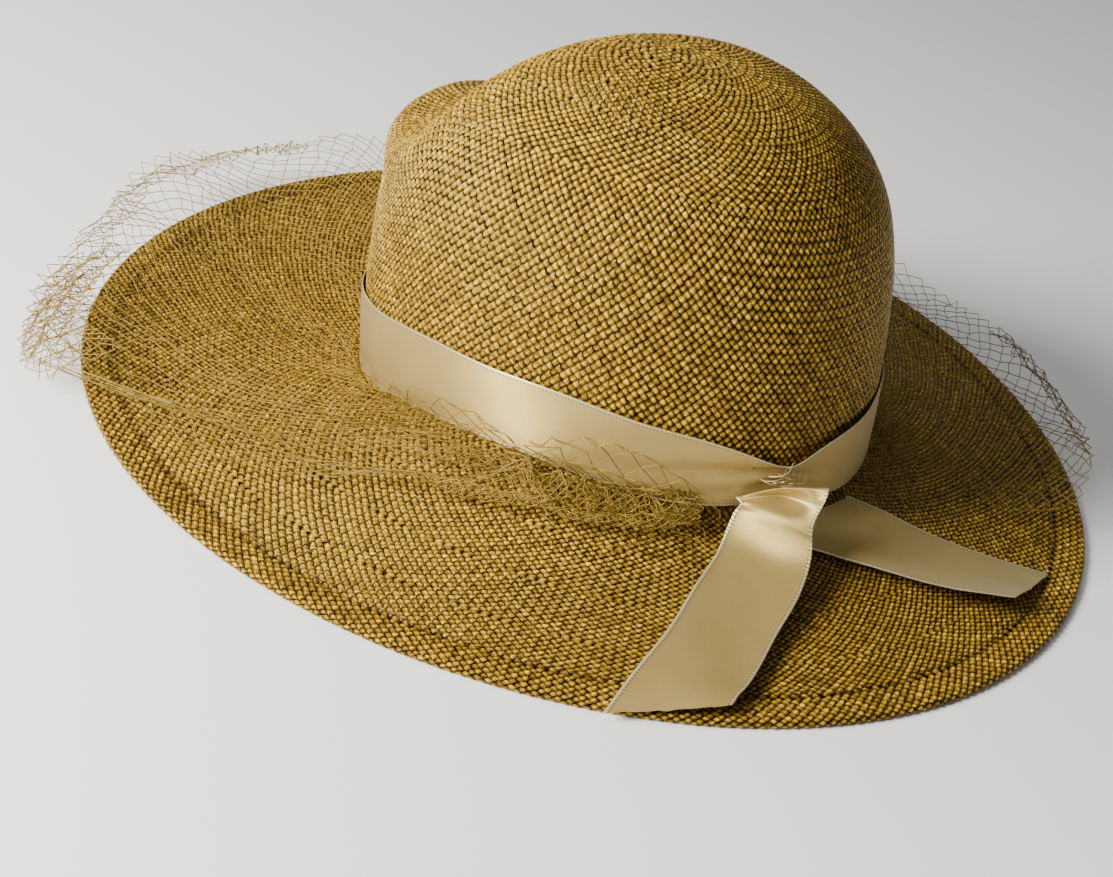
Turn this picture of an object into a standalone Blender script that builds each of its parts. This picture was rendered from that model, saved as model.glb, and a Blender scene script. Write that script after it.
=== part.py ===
"""A wide brim straw hat, standing on its brim.

The hat is a woven straw hood whose crown and brim are one piece with a folded hem, a satin ribbon
band gathered in at the back, two loose ribbon ends and a veil of diamond net round the foot of the
crown.  +Z is up, the back of the hat (the gather) faces +Y and the dented front faces -Y.
Angles called turn are measured from the back, anticlockwise as seen from above.
"""

import math

import bmesh
import bpy
import numpy as np

MM = 0.001

# Crown: the oval of its foot on the outside, its height, and how it leans for each unit of height
CROWN_LENGTH = 201.6 * MM
CROWN_WIDTH = 173.1 * MM
CROWN_HEIGHT = 130.6 * MM
BACK_NARROWING = 0.08
LEAN_RIGHT = 0.060
LEAN_FRONT = 0.022
TIP_RIGHT = 11.0 * MM
TIP_BACK = 16.0 * MM
TIP_POWER = 3

# Height share above the foot, width share of the foot oval
CROWN_ROWS = (
    (0.000, 1.000),
    (0.190, 1.000),
    (0.310, 0.990),
    (0.420, 0.975),
    (0.540, 0.951),
    (0.680, 0.893),
    (0.780, 0.812),
    (0.855, 0.710),
    (0.910, 0.590),
    (0.950, 0.454),
    (0.978, 0.306),
    (0.995, 0.153),
    (1.000, 0.000),
)

# Front of the crown: pressed down in a soft step, hollowed behind its fuller shoulder
STEP_DEPTH = 32.4 * MM
STEP_BACK_FROM_CENTRE = -21.7 * MM
STEP_SOFTNESS = 7.8 * MM
HOLLOW_DEPTH = 18.0 * MM
HOLLOW_RADIUS = 21.8 * MM
HOLLOW_FORWARD = 59.0 * MM
CREASE_DEPTH = 5.0 * MM
CREASE_WIDTH = 18.0 * MM
SHOULDER_FULLNESS = 0.17
SHOULDER_HEIGHT = 0.78
SHOULDER_SPREAD = 0.14
SHOULDER_POWER = 1.5
PRESS_POWER = 2

# Foot of the crown: its mean height over the hem's underside and how it rises and dips round
FOOT_HEIGHT = 18.5 * MM
FOOT_SWAY = 7.0 * MM
FOOT_RADIUS = 1.5 * MM

# Times round, share of the sway at the back, share of the sway on the left
FOOT_WAVES = (
    (1, 0.98, 0.35),
    (2, -0.10, -0.75),
    (3, -0.38, 0.35),
)

# Brim: mean width from the crown's foot, and how far its oval sits off the crown's
BRIM_WIDTH = 96.9 * MM
BRIM_FORWARD = 24.1 * MM
BRIM_LEFT = 7.0 * MM
BRIM_SWAY = 2.4 * MM
BRIM_SAG = 0.12
HEM_WIDTH = 11.0 * MM
HEM_THICKNESS = 3.0 * MM

# Times round, share of the brim sway at the back, share of the sway on the left
BRIM_WAVES = (
    (2, -0.21, 0.16),
    (3, 1.00, 0.48),
)

STRAW_THICKNESS = 1.8 * MM

# Ribbon: its width and thickness, and the gather that pulls the band in at the back
RIBBON_WIDTH = 28.5 * MM
RIBBON_THICKNESS = 1.0 * MM
GAP = 0.3 * MM
GATHER_TURN = math.radians(-7)
GATHER_HEIGHT = 17.0 * MM
GATHER_WIDTH = 11.0 * MM
GATHER_REACH = 20.0 * MM
GATHER_BULGE = 2.5 * MM
GATHER_POWER = 1.2

# Loose ends: turn in degrees, share of the way out to the hem, share of the lift off the brim
END_LIFT = 12.0 * MM
FRONT_END_ROWS = (
    (-8, 0.05, 1.00),
    (-13, 0.18, 0.78),
    (-17, 0.32, 0.50),
    (-22, 0.55, 0.38),
    (-26, 0.83, 0.34),
    (-28, 1.00, 0.30),
    (-29, 1.11, 0.26),
)
SIDE_END_ROWS = (
    (2, 0.022, 0.15),
    (7, 0.15, 0.09),
    (10, 0.30, 0.24),
    (14, 0.51, 0.26),
    (17, 0.73, 0.26),
    (21, 0.96, 0.24),
)
START_SLANT = 32.0 * MM
FRONT_CUT_SLANT = 24.0 * MM
SIDE_CUT_SLANT = 19.0 * MM

# Veil of net: its threads, its lift at the outer edge and its spread of diamonds
VEIL_THREAD = 1.6 * MM
VEIL_LIFT = 20.0 * MM
VEIL_LIFT_POWER = 1.5
VEIL_FLOAT = 1.2 * MM
VEIL_COLUMNS = 22
ROWS_ALL_ROUND = 2
VEIL_STEPS_OUT = (0.0, 0.10, 0.24, 0.42, 0.64, 0.88, 1.12, 1.36)

# Turn in degrees, share of the way out to the hem, share of the veil's lift
VEIL_EDGE = (
    (36, 1.02, 0.30),
    (46, 1.18, 0.40),
    (58, 1.24, 0.50),
    (85, 1.18, 0.50),
    (120, 1.12, 0.50),
    (150, 1.12, 0.50),
    (180, 1.12, 0.50),
    (204, 1.32, 0.50),
    (216, 1.32, 0.65),
    (229, 1.17, 0.95),
    (242, 1.28, 0.60),
    (256, 1.36, 0.50),
    (262, 1.16, 0.45),
    (270, 0.90, 0.45),
    (278, 0.58, 0.40),
    (288, 0.36, 0.35),
    (310, 0.24, 0.25),
    (331, 0.20, 0.15),
)

# Fineness of the faceted solids, and the small step that slopes are measured over
ROUND_STEPS = 60
CROWN_STEPS = 20
BRIM_STEPS = 5
GATHER_STEP = math.radians(3)
GATHER_STEPS = 8
BAND_STEP = math.radians(6)
END_STEPS = 12
SLANT_STEPS = 4
CLIMB_SAMPLES = 401
NEARBY = 0.002


def waves(table, size, turn):
    """Sum of the rises and dips that a table of waves gives at each turn."""
    total = np.zeros_like(turn)
    for times, back_share, left_share in table:
        total += size * back_share * np.cos(times * turn)
        total += size * left_share * np.sin(times * turn)
    return total


def smooth_rows(rows, at):
    """Both columns of a table at places between 0 and 1, along a smooth curve through its rows.

    Before the first row the curve runs straight on; past the last it comes down the far side.
    """
    table = np.array(rows)
    padded = np.vstack([2 * table[0] - table[1], table, table[-2] * (1, -1)])
    place = np.clip(at, 0.0, 1.0) * (len(table) - 1)
    index = np.minimum(place.astype(int), len(table) - 2)
    part = (place - index)[..., None]
    before, start, end, after = (padded[index + step] for step in range(4))
    smooth = 2 * start + (end - before) * part
    smooth = smooth + (2 * before - 5 * start + 4 * end - after) * part ** 2
    smooth = smooth + (3 * start - before - 3 * end + after) * part ** 3
    return smooth[..., 0] / 2, smooth[..., 1] / 2


def foot_height(turn):
    """Height of the crown's foot over the floor at each turn."""
    return FOOT_HEIGHT + waves(FOOT_WAVES, FOOT_SWAY, turn)


def crown_point(turn, climb):
    """Point on the outside of the crown; climb runs from 0 at the foot to 1 at the top."""
    high, wide = smooth_rows(CROWN_ROWS, climb)
    frontness = np.clip(-np.cos(turn), 0, 1) ** SHOULDER_POWER
    wide = wide * (1 + SHOULDER_FULLNESS * frontness
                   * np.exp(-((high - SHOULDER_HEIGHT) / SHOULDER_SPREAD) ** 2))
    height = high * CROWN_HEIGHT
    x = -CROWN_WIDTH / 2 * wide * np.sin(turn) * (1 - BACK_NARROWING * np.cos(turn))
    y = CROWN_LENGTH / 2 * wide * np.cos(turn)
    x = x + LEAN_RIGHT * height + TIP_RIGHT * high ** TIP_POWER
    y = y - LEAN_FRONT * height + TIP_BACK * high ** TIP_POWER
    fade = np.clip(1 - high, 0, 1)
    z = FOOT_HEIGHT + (foot_height(turn) - FOOT_HEIGHT) * fade + height
    in_front = 1 / (1 + np.exp((y - STEP_BACK_FROM_CENTRE) / STEP_SOFTNESS))
    from_hollow = x ** 2 + (y + HOLLOW_FORWARD) ** 2
    press = STEP_DEPTH * in_front + HOLLOW_DEPTH * np.exp(-from_hollow / HOLLOW_RADIUS ** 2)
    press = press + CREASE_DEPTH * np.exp(-(x / CREASE_WIDTH) ** 2) * in_front
    return np.stack([x, y, z - press * high ** PRESS_POWER], -1)


def rim_point(turn, inward):
    """Point in the floor plane on the rim, or the given length inside it."""
    reach = BRIM_WIDTH - inward + waves(BRIM_WAVES, BRIM_SWAY, turn)
    x = -(CROWN_WIDTH / 2 + reach) * np.sin(turn) - BRIM_LEFT
    y = (CROWN_LENGTH / 2 + reach) * np.cos(turn) - BRIM_FORWARD
    return np.stack([x, y, np.zeros_like(x)], -1)


def brim_point(turn, out):
    """Point on top of the brim; out runs from 0 at the crown's foot to 1 at the hem."""
    foot = crown_point(turn, np.zeros_like(turn))
    hem = rim_point(turn, HEM_WIDTH)
    hem[..., 2] = HEM_THICKNESS
    out = np.asarray(out)[..., None] if np.ndim(out) else out
    point = foot + (hem - foot) * out
    return point - (0, 0, 4 * BRIM_SAG) * foot[..., 2:] * out * (1 - out)


def climb_at(height):
    """How far up the crown's outline a height above the foot lies, from 0 to 1."""
    samples = np.linspace(0, 1, CLIMB_SAMPLES)
    high, _ = smooth_rows(CROWN_ROWS, samples)
    return np.interp(height, high * CROWN_HEIGHT, samples)


def outward(turn, climb):
    """Outward direction of the crown's wall, square to it."""
    around = crown_point(turn + NEARBY, climb) - crown_point(turn - NEARBY, climb)
    upward = crown_point(turn, climb + NEARBY) - crown_point(turn, np.maximum(climb - NEARBY, 0))
    normal = np.cross(around, upward)
    return normal / np.linalg.norm(normal, axis=-1, keepdims=True)


def band_point(turn, height, off):
    """Point at a height above the foot and a distance off the crown's wall."""
    climb = climb_at(height)
    return crown_point(turn, climb) + outward(turn, climb) * np.asarray(off)[..., None]


def round_turns(steps):
    """Evenly spaced turns once round the hat."""
    return np.linspace(0, 2 * math.pi, steps, endpoint=False)


def row_normals(rows):
    """Upward or outward normals of a grid of rows that close on themselves."""
    around = np.roll(rows, -1, axis=1) - np.roll(rows, 1, axis=1)
    down = np.gradient(rows, axis=0)
    normal = np.cross(down, around)
    return normal / np.linalg.norm(normal, axis=2, keepdims=True)


def add_object(name, points, faces, material, parts):
    """Make a mesh object of the given points and faces with one material."""
    mesh = bpy.data.meshes.new(name)
    mesh.from_pydata([tuple(point) for point in points], [], faces)
    mesh.materials.append(material)
    made = bpy.data.objects.new(name, mesh)
    parts.objects.link(made)
    shell = bmesh.new()
    shell.from_mesh(mesh)
    bmesh.ops.recalc_face_normals(shell, faces=shell.faces)
    shell.to_mesh(mesh)
    shell.free()
    return made


def ring_faces(rings, count, closed):
    """Quads between each ring of points and the next, and from the last to the first if closed."""
    faces = []
    for ring in range(rings if closed else rings - 1):
        for step in range(count):
            here = ring * count
            there = (ring + 1) % rings * count
            after = (step + 1) % count
            faces.append((here + step, here + after, there + after, there + step))
    return faces


def hood_rows():
    """Rows of points on the upper side of the hood, from just below its top out to the hem."""
    turn = round_turns(ROUND_STEPS)
    rows = [crown_point(turn, np.full_like(turn, 1 - step / CROWN_STEPS)) for step in range(1, CROWN_STEPS)]
    wall = crown_point(turn, np.full_like(turn, climb_at(FOOT_RADIUS)))
    corner = crown_point(turn, np.zeros_like(turn))
    out = FOOT_RADIUS / BRIM_WIDTH
    start = brim_point(turn, out)
    rows += [wall, (wall + 2 * corner + start) / 4, start]
    rows += [brim_point(turn, out + (1 - out) * step / BRIM_STEPS) for step in range(1, BRIM_STEPS + 1)]
    return np.array(rows)


def hem_rows():
    """Rows round the folded hem: its top, its edge, its flat underside and the fold's inner edge."""
    turn = round_turns(ROUND_STEPS)
    edge = HEM_THICKNESS / 2
    lift = np.array((0, 0, 1))
    return [
        rim_point(turn, edge) + lift * HEM_THICKNESS,
        rim_point(turn, 0) + lift * edge,
        rim_point(turn, edge),
        rim_point(turn, HEM_WIDTH),
    ]


def make_hood(material, parts):
    """Crown, brim and folded hem as one hollow shell of straw."""
    outside = hood_rows()
    inside = outside - row_normals(outside) * STRAW_THICKNESS
    inside[-1] = outside[-1] - (0, 0, STRAW_THICKNESS)
    rings = [*outside, *hem_rows(), *inside[::-1]]
    top = crown_point(np.zeros(1), np.ones(1))[0]
    points = [*np.concatenate(rings), top, top - (0, 0, STRAW_THICKNESS)]
    faces = ring_faces(len(rings), ROUND_STEPS, False)
    last = (len(rings) - 1) * ROUND_STEPS
    for step in range(ROUND_STEPS):
        after = (step + 1) % ROUND_STEPS
        faces.append((len(points) - 2, after, step))
        faces.append((len(points) - 1, last + step, last + after))
    return add_object("straw_hood", points, faces, material, parts)


def gather_share(turn):
    """How strongly the ribbon is gathered: 1 at the gather, falling to 0 on either side."""
    off = (turn - GATHER_TURN + math.pi) % (2 * math.pi) - math.pi
    return np.exp(-(np.abs(off) * CROWN_WIDTH / 2 / GATHER_REACH) ** GATHER_POWER)


def band_edges(turn):
    """Heights of the band's lower and upper edge above the foot."""
    low = FOOT_RADIUS + GAP
    share = gather_share(turn)
    lower = low + (GATHER_HEIGHT - GATHER_WIDTH / 2 - low) * share
    upper = low + RIBBON_WIDTH
    return lower, upper + (GATHER_HEIGHT + GATHER_WIDTH / 2 - upper) * share


def make_band(material, parts):
    """Ribbon round the foot of the crown, drawn in to a thick narrow gather at the back."""
    close = np.arange(-GATHER_STEPS, GATHER_STEPS) * GATHER_STEP
    skipped = round(GATHER_STEPS * GATHER_STEP / BAND_STEP)
    far = np.arange(skipped, round(2 * math.pi / BAND_STEP) - skipped) * BAND_STEP
    turn = GATHER_TURN + np.concatenate([close, far])
    lower, upper = band_edges(turn)
    middle = (lower + upper) / 2
    bulge = RIBBON_THICKNESS + GAP + GATHER_BULGE * gather_share(turn)
    gap = np.full_like(turn, GAP)
    rings = [
        band_point(turn, lower, gap),
        band_point(turn, middle, gap),
        band_point(turn, upper, gap),
        band_point(turn, upper, gap + RIBBON_THICKNESS),
        band_point(turn, middle, bulge),
        band_point(turn, lower, gap + RIBBON_THICKNESS),
    ]
    faces = ring_faces(len(rings), len(turn), True)
    return add_object("ribbon_band", np.concatenate(rings), faces, material, parts)


def end_path(rows):
    """Points along the middle of a loose end and the upward normals of the brim under it."""
    table = np.array(rows)
    place = np.linspace(0, len(rows) - 1, END_STEPS + 1)
    turn, out, lift = (np.interp(place, np.arange(len(rows)), table[:, column]) for column in range(3))
    turn = np.radians(turn)
    around = brim_point(turn + NEARBY, out) - brim_point(turn - NEARBY, out)
    outward_step = brim_point(turn, out + NEARBY) - brim_point(turn, out - NEARBY)
    normal = np.cross(outward_step, around)
    normal = normal / np.linalg.norm(normal, axis=1, keepdims=True)
    return brim_point(turn, out) + normal * (lift * END_LIFT)[:, None], normal


def make_end(name, rows, start_slant, end_slant, material, parts):
    """A loose length of ribbon lying out over the brim, slanted along the crown and at its cut."""
    path, normal = end_path(rows)
    along = np.gradient(path, axis=0)
    along = along / np.linalg.norm(along, axis=1, keepdims=True)
    across = np.cross(along, normal)
    across = across / np.linalg.norm(across, axis=1, keepdims=True)
    face = np.cross(across, along)
    points = []
    for index, centre in enumerate(path):
        near_start = max(0.0, 1 - index / SLANT_STEPS)
        near_end = max(0.0, 1 - (END_STEPS - index) / SLANT_STEPS)
        reach = start_slant * near_start + end_slant * near_end
        for side, level in ((-1, -1), (1, -1), (1, 1), (-1, 1)):
            points.append(centre + across[index] * side * RIBBON_WIDTH / 2
                          + face[index] * level * RIBBON_THICKNESS / 2
                          + along[index] * side * reach / 2)
    faces = ring_faces(len(path), 4, False)
    last = len(points) - 4
    faces += [(0, 1, 2, 3), (last, last + 1, last + 2, last + 3)]
    return add_object(name, points, faces, material, parts)


def veil_reach(turn):
    """How far out the veil reaches at each turn, as a share of the way to the hem, and its lift."""
    table = np.array(VEIL_EDGE)
    degrees = np.degrees(turn)
    return np.interp(degrees, table[:, 0], table[:, 1]), np.interp(degrees, table[:, 0], table[:, 2])


def veil_point(turn, out):
    """Point on the veil, floating a little off the brim and lifting towards its outer edge."""
    start = (RIBBON_THICKNESS + 2 * GAP + VEIL_THREAD / 2) / BRIM_WIDTH
    reach, lift = veil_reach(turn)
    out = np.minimum(start + out, reach)
    flat = brim_point(turn, np.minimum(out, 1.0))
    foot = crown_point(turn, np.zeros_like(turn))
    hem = rim_point(turn, HEM_WIDTH)
    plan = foot + (hem - foot) * out[..., None]
    spread = out / reach
    rise = VEIL_FLOAT * (1 + spread) + VEIL_LIFT * lift * spread ** VEIL_LIFT_POWER
    return np.stack([plan[..., 0], plan[..., 1], flat[..., 2] + rise], -1)


def make_veil(material, parts):
    """Net of diamonds gathered at the foot of the crown and spread over the brim."""
    first, last = (math.radians(VEIL_EDGE[end][0]) for end in (0, -1))
    span = (last - first) / VEIL_COLUMNS
    points, index, kept = [], {}, []
    for row, out in enumerate(VEIL_STEPS_OUT):
        for column in range(VEIL_COLUMNS + 1 - row % 2):
            turn = np.array([first + span * (column + 0.5 * (row % 2))])
            narrowed = np.minimum(1, veil_reach(turn)[0] / VEIL_STEPS_OUT[ROWS_ALL_ROUND + 1])
            index[row, column] = len(points)
            points.append(veil_point(turn, out * narrowed)[0])
    for row in range(len(VEIL_STEPS_OUT) - 2):
        shift = row % 2
        for column in range(1 - shift, VEIL_COLUMNS):
            turn = first + span * (column + 0.5 * shift)
            if row < ROWS_ALL_ROUND or VEIL_STEPS_OUT[row + 1] < veil_reach(turn)[0]:
                corners = ((row, column), (row + 1, column + shift), (row + 2, column),
                           (row + 1, column + shift - 1))
                kept.append(tuple(index[corner] for corner in corners))
    used = sorted({corner for face in kept for corner in face})
    renumbered = {old: new for new, old in enumerate(used)}
    faces = [tuple(renumbered[corner] for corner in face) for face in kept]
    net = add_object("veil_net", [points[old] for old in used], faces, material, parts)
    open_gaps(net, VEIL_THREAD / 2)
    cloth = net.modifiers.new("threads", "SOLIDIFY")
    cloth.thickness = VEIL_THREAD
    cloth.offset = 0
    return net


def open_gaps(net, border):
    """Cut a hole through the middle of every face, leaving a border of the given width."""
    shell = bmesh.new()
    shell.from_mesh(net.data)
    gaps = list(shell.faces)
    bmesh.ops.inset_individual(shell, faces=gaps, thickness=border, use_even_offset=True)
    bmesh.ops.delete(shell, geom=gaps, context="FACES")
    shell.to_mesh(net.data)
    shell.free()


def make_material(name, colour, roughness):
    """A plain material with a colour in linear values."""
    material = bpy.data.materials.new(name)
    material.use_nodes = True
    shader = material.node_tree.nodes["Principled BSDF"]
    shader.inputs["Base Color"].default_value = (*colour, 1)
    shader.inputs["Roughness"].default_value = roughness
    shader.inputs["Metallic"].default_value = 0.0
    return material


def centre_on_bounds(made):
    """Shift every piece sideways so that the whole stands centred over the origin."""
    graph = bpy.context.evaluated_depsgraph_get()
    corners = np.array([corner for piece in made for corner in piece.evaluated_get(graph).bound_box])
    centre = (corners.min(axis=0) + corners.max(axis=0)) / 2
    for piece in made:
        piece.location = (-centre[0], -centre[1], 0)


def main():
    for leftover in list(bpy.data.objects):
        bpy.data.objects.remove(leftover, do_unlink=True)
    parts = bpy.data.collections.new("wide_brim_straw_hat")
    bpy.context.scene.collection.children.link(parts)
    straw = make_material("woven_straw", (0.36, 0.24, 0.08), 0.55)
    satin = make_material("satin_ribbon", (0.74, 0.62, 0.40), 0.35)
    net = make_material("veil_net", (0.47, 0.33, 0.15), 0.60)
    made = [
        make_hood(straw, parts),
        make_band(satin, parts),
        make_end("ribbon_end_front", FRONT_END_ROWS, START_SLANT, FRONT_CUT_SLANT, satin, parts),
        make_end("ribbon_end_side", SIDE_END_ROWS, -START_SLANT, -SIDE_CUT_SLANT, satin, parts),
        make_veil(net, parts),
    ]
    centre_on_bounds(made)


main()
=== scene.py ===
# %% [markdown]
# # A wide brim straw hat
#
# The hat stands on its own brim on a pale floor. It is a hood of plain woven straw, a satin ribbon
# band gathered and tacked at the back, two loose ribbon ends and a veil of knotted net. The rigid
# stand-ins come from the CAD model; each of them is replaced here by a finely made piece.

import math

import bpy
import numpy as np
from mathutils import Matrix, Vector


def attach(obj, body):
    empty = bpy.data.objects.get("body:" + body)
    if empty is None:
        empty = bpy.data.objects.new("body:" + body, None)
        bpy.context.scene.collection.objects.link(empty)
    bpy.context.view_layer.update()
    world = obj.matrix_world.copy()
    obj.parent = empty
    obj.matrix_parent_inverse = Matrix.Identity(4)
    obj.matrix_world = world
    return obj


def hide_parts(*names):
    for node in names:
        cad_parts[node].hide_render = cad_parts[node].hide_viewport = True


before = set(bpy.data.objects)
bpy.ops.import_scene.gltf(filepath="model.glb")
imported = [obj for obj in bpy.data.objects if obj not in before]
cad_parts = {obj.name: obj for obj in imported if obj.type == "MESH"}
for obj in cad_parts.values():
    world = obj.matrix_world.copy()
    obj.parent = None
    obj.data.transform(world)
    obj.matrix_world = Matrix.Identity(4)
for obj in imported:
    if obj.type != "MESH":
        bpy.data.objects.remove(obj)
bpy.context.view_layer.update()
MM = 0.001


# %% [markdown]
# ## The form of the hat
#
# Every piece follows the same form, so the form comes first: an oval crown that leans and is pressed
# in at the front, on a foot that rises and dips, and a brim that spreads from the foot to a hem in one
# plane. These are the CAD model's own sizes. `turn` is the angle round the hat, measured from the back
# and anticlockwise from above; `along` runs from 0 at the top of the crown to 1 at its foot, 2 where
# the hem begins and 3 at the end of the hem's folded edge under the brim. Formulas are used, and no
# sculpted mesh, because the straw, the ribbon and the net all have to lie on one and the same form.

# %% Sizes of the crown and brim
CROWN_LENGTH = 201.6 * MM
CROWN_WIDTH = 173.1 * MM
CROWN_HEIGHT = 130.6 * MM
CROWN_ROWS = (
    (0.000, 1.000), (0.190, 1.000), (0.310, 0.990), (0.420, 0.975), (0.540, 0.951),
    (0.680, 0.893), (0.780, 0.812), (0.855, 0.710), (0.910, 0.590), (0.950, 0.454),
    (0.978, 0.306), (0.995, 0.153), (1.000, 0.000),
)
BACK_NARROWING = 0.08
LEAN_RIGHT = 0.060
LEAN_FRONT = 0.022
TIP_RIGHT = 11 * MM
TIP_BACK = 16 * MM
TIP_POWER = 3
SHOULDER_FULLNESS = 0.17
SHOULDER_HEIGHT = 0.78
SHOULDER_SPREAD = 0.14
SHOULDER_POWER = 1.5
STEP_DEPTH = 32.4 * MM
STEP_FORWARD = 21.7 * MM
STEP_SOFTNESS = 7.8 * MM
HOLLOW_DEPTH = 18 * MM
HOLLOW_FORWARD = 59 * MM
HOLLOW_RADIUS = 21.8 * MM
CREASE_DEPTH = 5 * MM
CREASE_WIDTH = 18 * MM
FOOT_HEIGHT = 18.5 * MM
FOOT_WAVES = ((1, 0.98, 0.35), (2, -0.10, -0.75), (3, -0.38, 0.35))
FOOT_SWAY = 7.0 * MM
BRIM_WIDTH = 96.9 * MM
BRIM_FORWARD = 24.1 * MM
BRIM_LEFT = 7.0 * MM
BRIM_WAVES = ((2, -0.21, 0.16), (3, 1.00, 0.48))
BRIM_SWAY = 2.4 * MM
BRIM_SAG = 0.12
HEM_WIDTH = 11.0 * MM
HEM_THICKNESS = 3.0 * MM
STRAW_DEPTH = 0.68 * MM
HAT_PLACE = np.array((2.344, 25.540, 0.0)) * MM


# %% [markdown]
# Each part of the form is one function from a turn and a place to a point. The crown is an oval that
# narrows upwards by its own rows, leans, and is pressed down by a step across its front, a round hollow
# and a crease. The brim is a straight line from the foot to the hem that sags a little, and the hem
# goes round its edge and back in underneath.

# %% Points on the crown
def waves(table, size, turn):
    """A sum of waves round the hat, from rows of (how many, share at the back, share at the left)."""
    total = np.zeros_like(turn)
    for times, back, left in table:
        total += size * (back * np.cos(times * turn) + left * np.sin(times * turn))
    return total


def smooth_rows(rows, at):
    """Both columns of a table at places from 0 to 1, along a smooth curve through its rows."""
    table = np.array(rows)
    padded = np.vstack([2 * table[0] - table[1], table, table[-2] * (1, -1)])
    place = np.clip(at, 0.0, 1.0) * (len(table) - 1)
    index = np.minimum(place.astype(int), len(table) - 2)
    part = (place - index)[..., None]
    before, start, end, after = (padded[index + step] for step in range(4))
    smooth = 2 * start + (end - before) * part
    smooth = smooth + (2 * before - 5 * start + 4 * end - after) * part ** 2
    smooth = smooth + (3 * start - before - 3 * end + after) * part ** 3
    return smooth[..., 0] / 2, smooth[..., 1] / 2


def crown_point(turn, climb):
    """Point on the outside of the crown; climb runs from 0 at the foot to 1 at the top."""
    high, wide = smooth_rows(CROWN_ROWS, climb)
    frontness = np.clip(-np.cos(turn), 0, 1) ** SHOULDER_POWER
    shoulder = np.exp(-((high - SHOULDER_HEIGHT) / SHOULDER_SPREAD) ** 2)
    wide = wide * (1 + SHOULDER_FULLNESS * frontness * shoulder)
    height = high * CROWN_HEIGHT
    x = -CROWN_WIDTH / 2 * wide * np.sin(turn) * (1 - BACK_NARROWING * np.cos(turn))
    y = CROWN_LENGTH / 2 * wide * np.cos(turn)
    x = x + LEAN_RIGHT * height + TIP_RIGHT * high ** TIP_POWER
    y = y - LEAN_FRONT * height + TIP_BACK * high ** TIP_POWER
    sway = waves(FOOT_WAVES, FOOT_SWAY, turn)
    z = FOOT_HEIGHT + sway * np.clip(1 - high, 0, 1) + height
    in_front = 1 / (1 + np.exp((y + STEP_FORWARD) / STEP_SOFTNESS))
    from_hollow = x ** 2 + (y + HOLLOW_FORWARD) ** 2
    press = STEP_DEPTH * in_front + HOLLOW_DEPTH * np.exp(-from_hollow / HOLLOW_RADIUS ** 2)
    press = press + CREASE_DEPTH * np.exp(-(x / CREASE_WIDTH) ** 2) * in_front
    return np.stack([x, y, z - press * high ** 2], -1)


# %% Points on the brim and round the hem
def rim_point(turn, inward, height=0.0):
    """Point at a height above the floor, on the rim or the given length inside it."""
    reach = BRIM_WIDTH - inward + waves(BRIM_WAVES, BRIM_SWAY, turn)
    x = -(CROWN_WIDTH / 2 + reach) * np.sin(turn) - BRIM_LEFT
    y = (CROWN_LENGTH / 2 + reach) * np.cos(turn) - BRIM_FORWARD
    return np.stack([x, y, np.zeros_like(x) + height], -1)


def brim_point(turn, out):
    """Point on top of the brim; out runs from 0 at the crown's foot to 1 at the hem."""
    foot = crown_point(turn, np.zeros_like(turn))
    hem = rim_point(turn, HEM_WIDTH, HEM_THICKNESS)
    out = np.broadcast_to(out, turn.shape)[..., None]
    point = foot + (hem - foot) * out
    return point - (0, 0, 4 * BRIM_SAG) * foot[..., 2:] * out * (1 - out)


def hem_point(turn, along):
    """Over the hem's top, round its edge and back in underneath; along runs from 0 to 1."""
    edge = HEM_THICKNESS / 2
    travelled = along * (2 * HEM_WIDTH - 2 * edge + math.pi * edge)
    top = HEM_WIDTH - edge
    angle = np.clip((travelled - top) / edge, 0, math.pi)
    inward = np.where(travelled < top, HEM_WIDTH - travelled, edge - edge * np.sin(angle))
    under = travelled - top - math.pi * edge
    inward = np.where(under > 0, edge + under, inward)
    return rim_point(turn, inward, edge + edge * np.cos(angle))


def hood_point(turn, along):
    """Outer surface of the hood from the top of the crown (0) to the inner edge of the hem (3)."""
    point = np.empty(turn.shape + (3,))
    crown, hem = along < 1, along > 2
    brim = ~crown & ~hem
    point[crown] = crown_point(turn[crown], 1 - along[crown])
    point[brim] = brim_point(turn[brim], along[brim] - 1)
    point[hem] = hem_point(turn[hem], along[hem] - 2)
    return point + HAT_PLACE


def hood_normal(turn, along):
    """Outward direction of the hood's surface, from points a small step to each side."""
    step = 0.003
    around = hood_point(turn + step, along) - hood_point(turn - step, along)
    further, nearer = np.minimum(along + step, 3), np.maximum(along - step, 0)
    outward = hood_point(turn, further) - hood_point(turn, nearer)
    normal = np.cross(outward, around)
    return normal / np.maximum(np.linalg.norm(normal, axis=-1, keepdims=True), 1e-12)


# %% [markdown]
# Thousands of strands and threads are far too many to model by hand, so their points and faces are
# worked out as arrays and handed to Blender in one go. `tone` is a value kept with each point that a
# material can read. Colours are written as sRGB hex values, as in a paint program, and turned to the
# linear values that shaders need.

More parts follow.
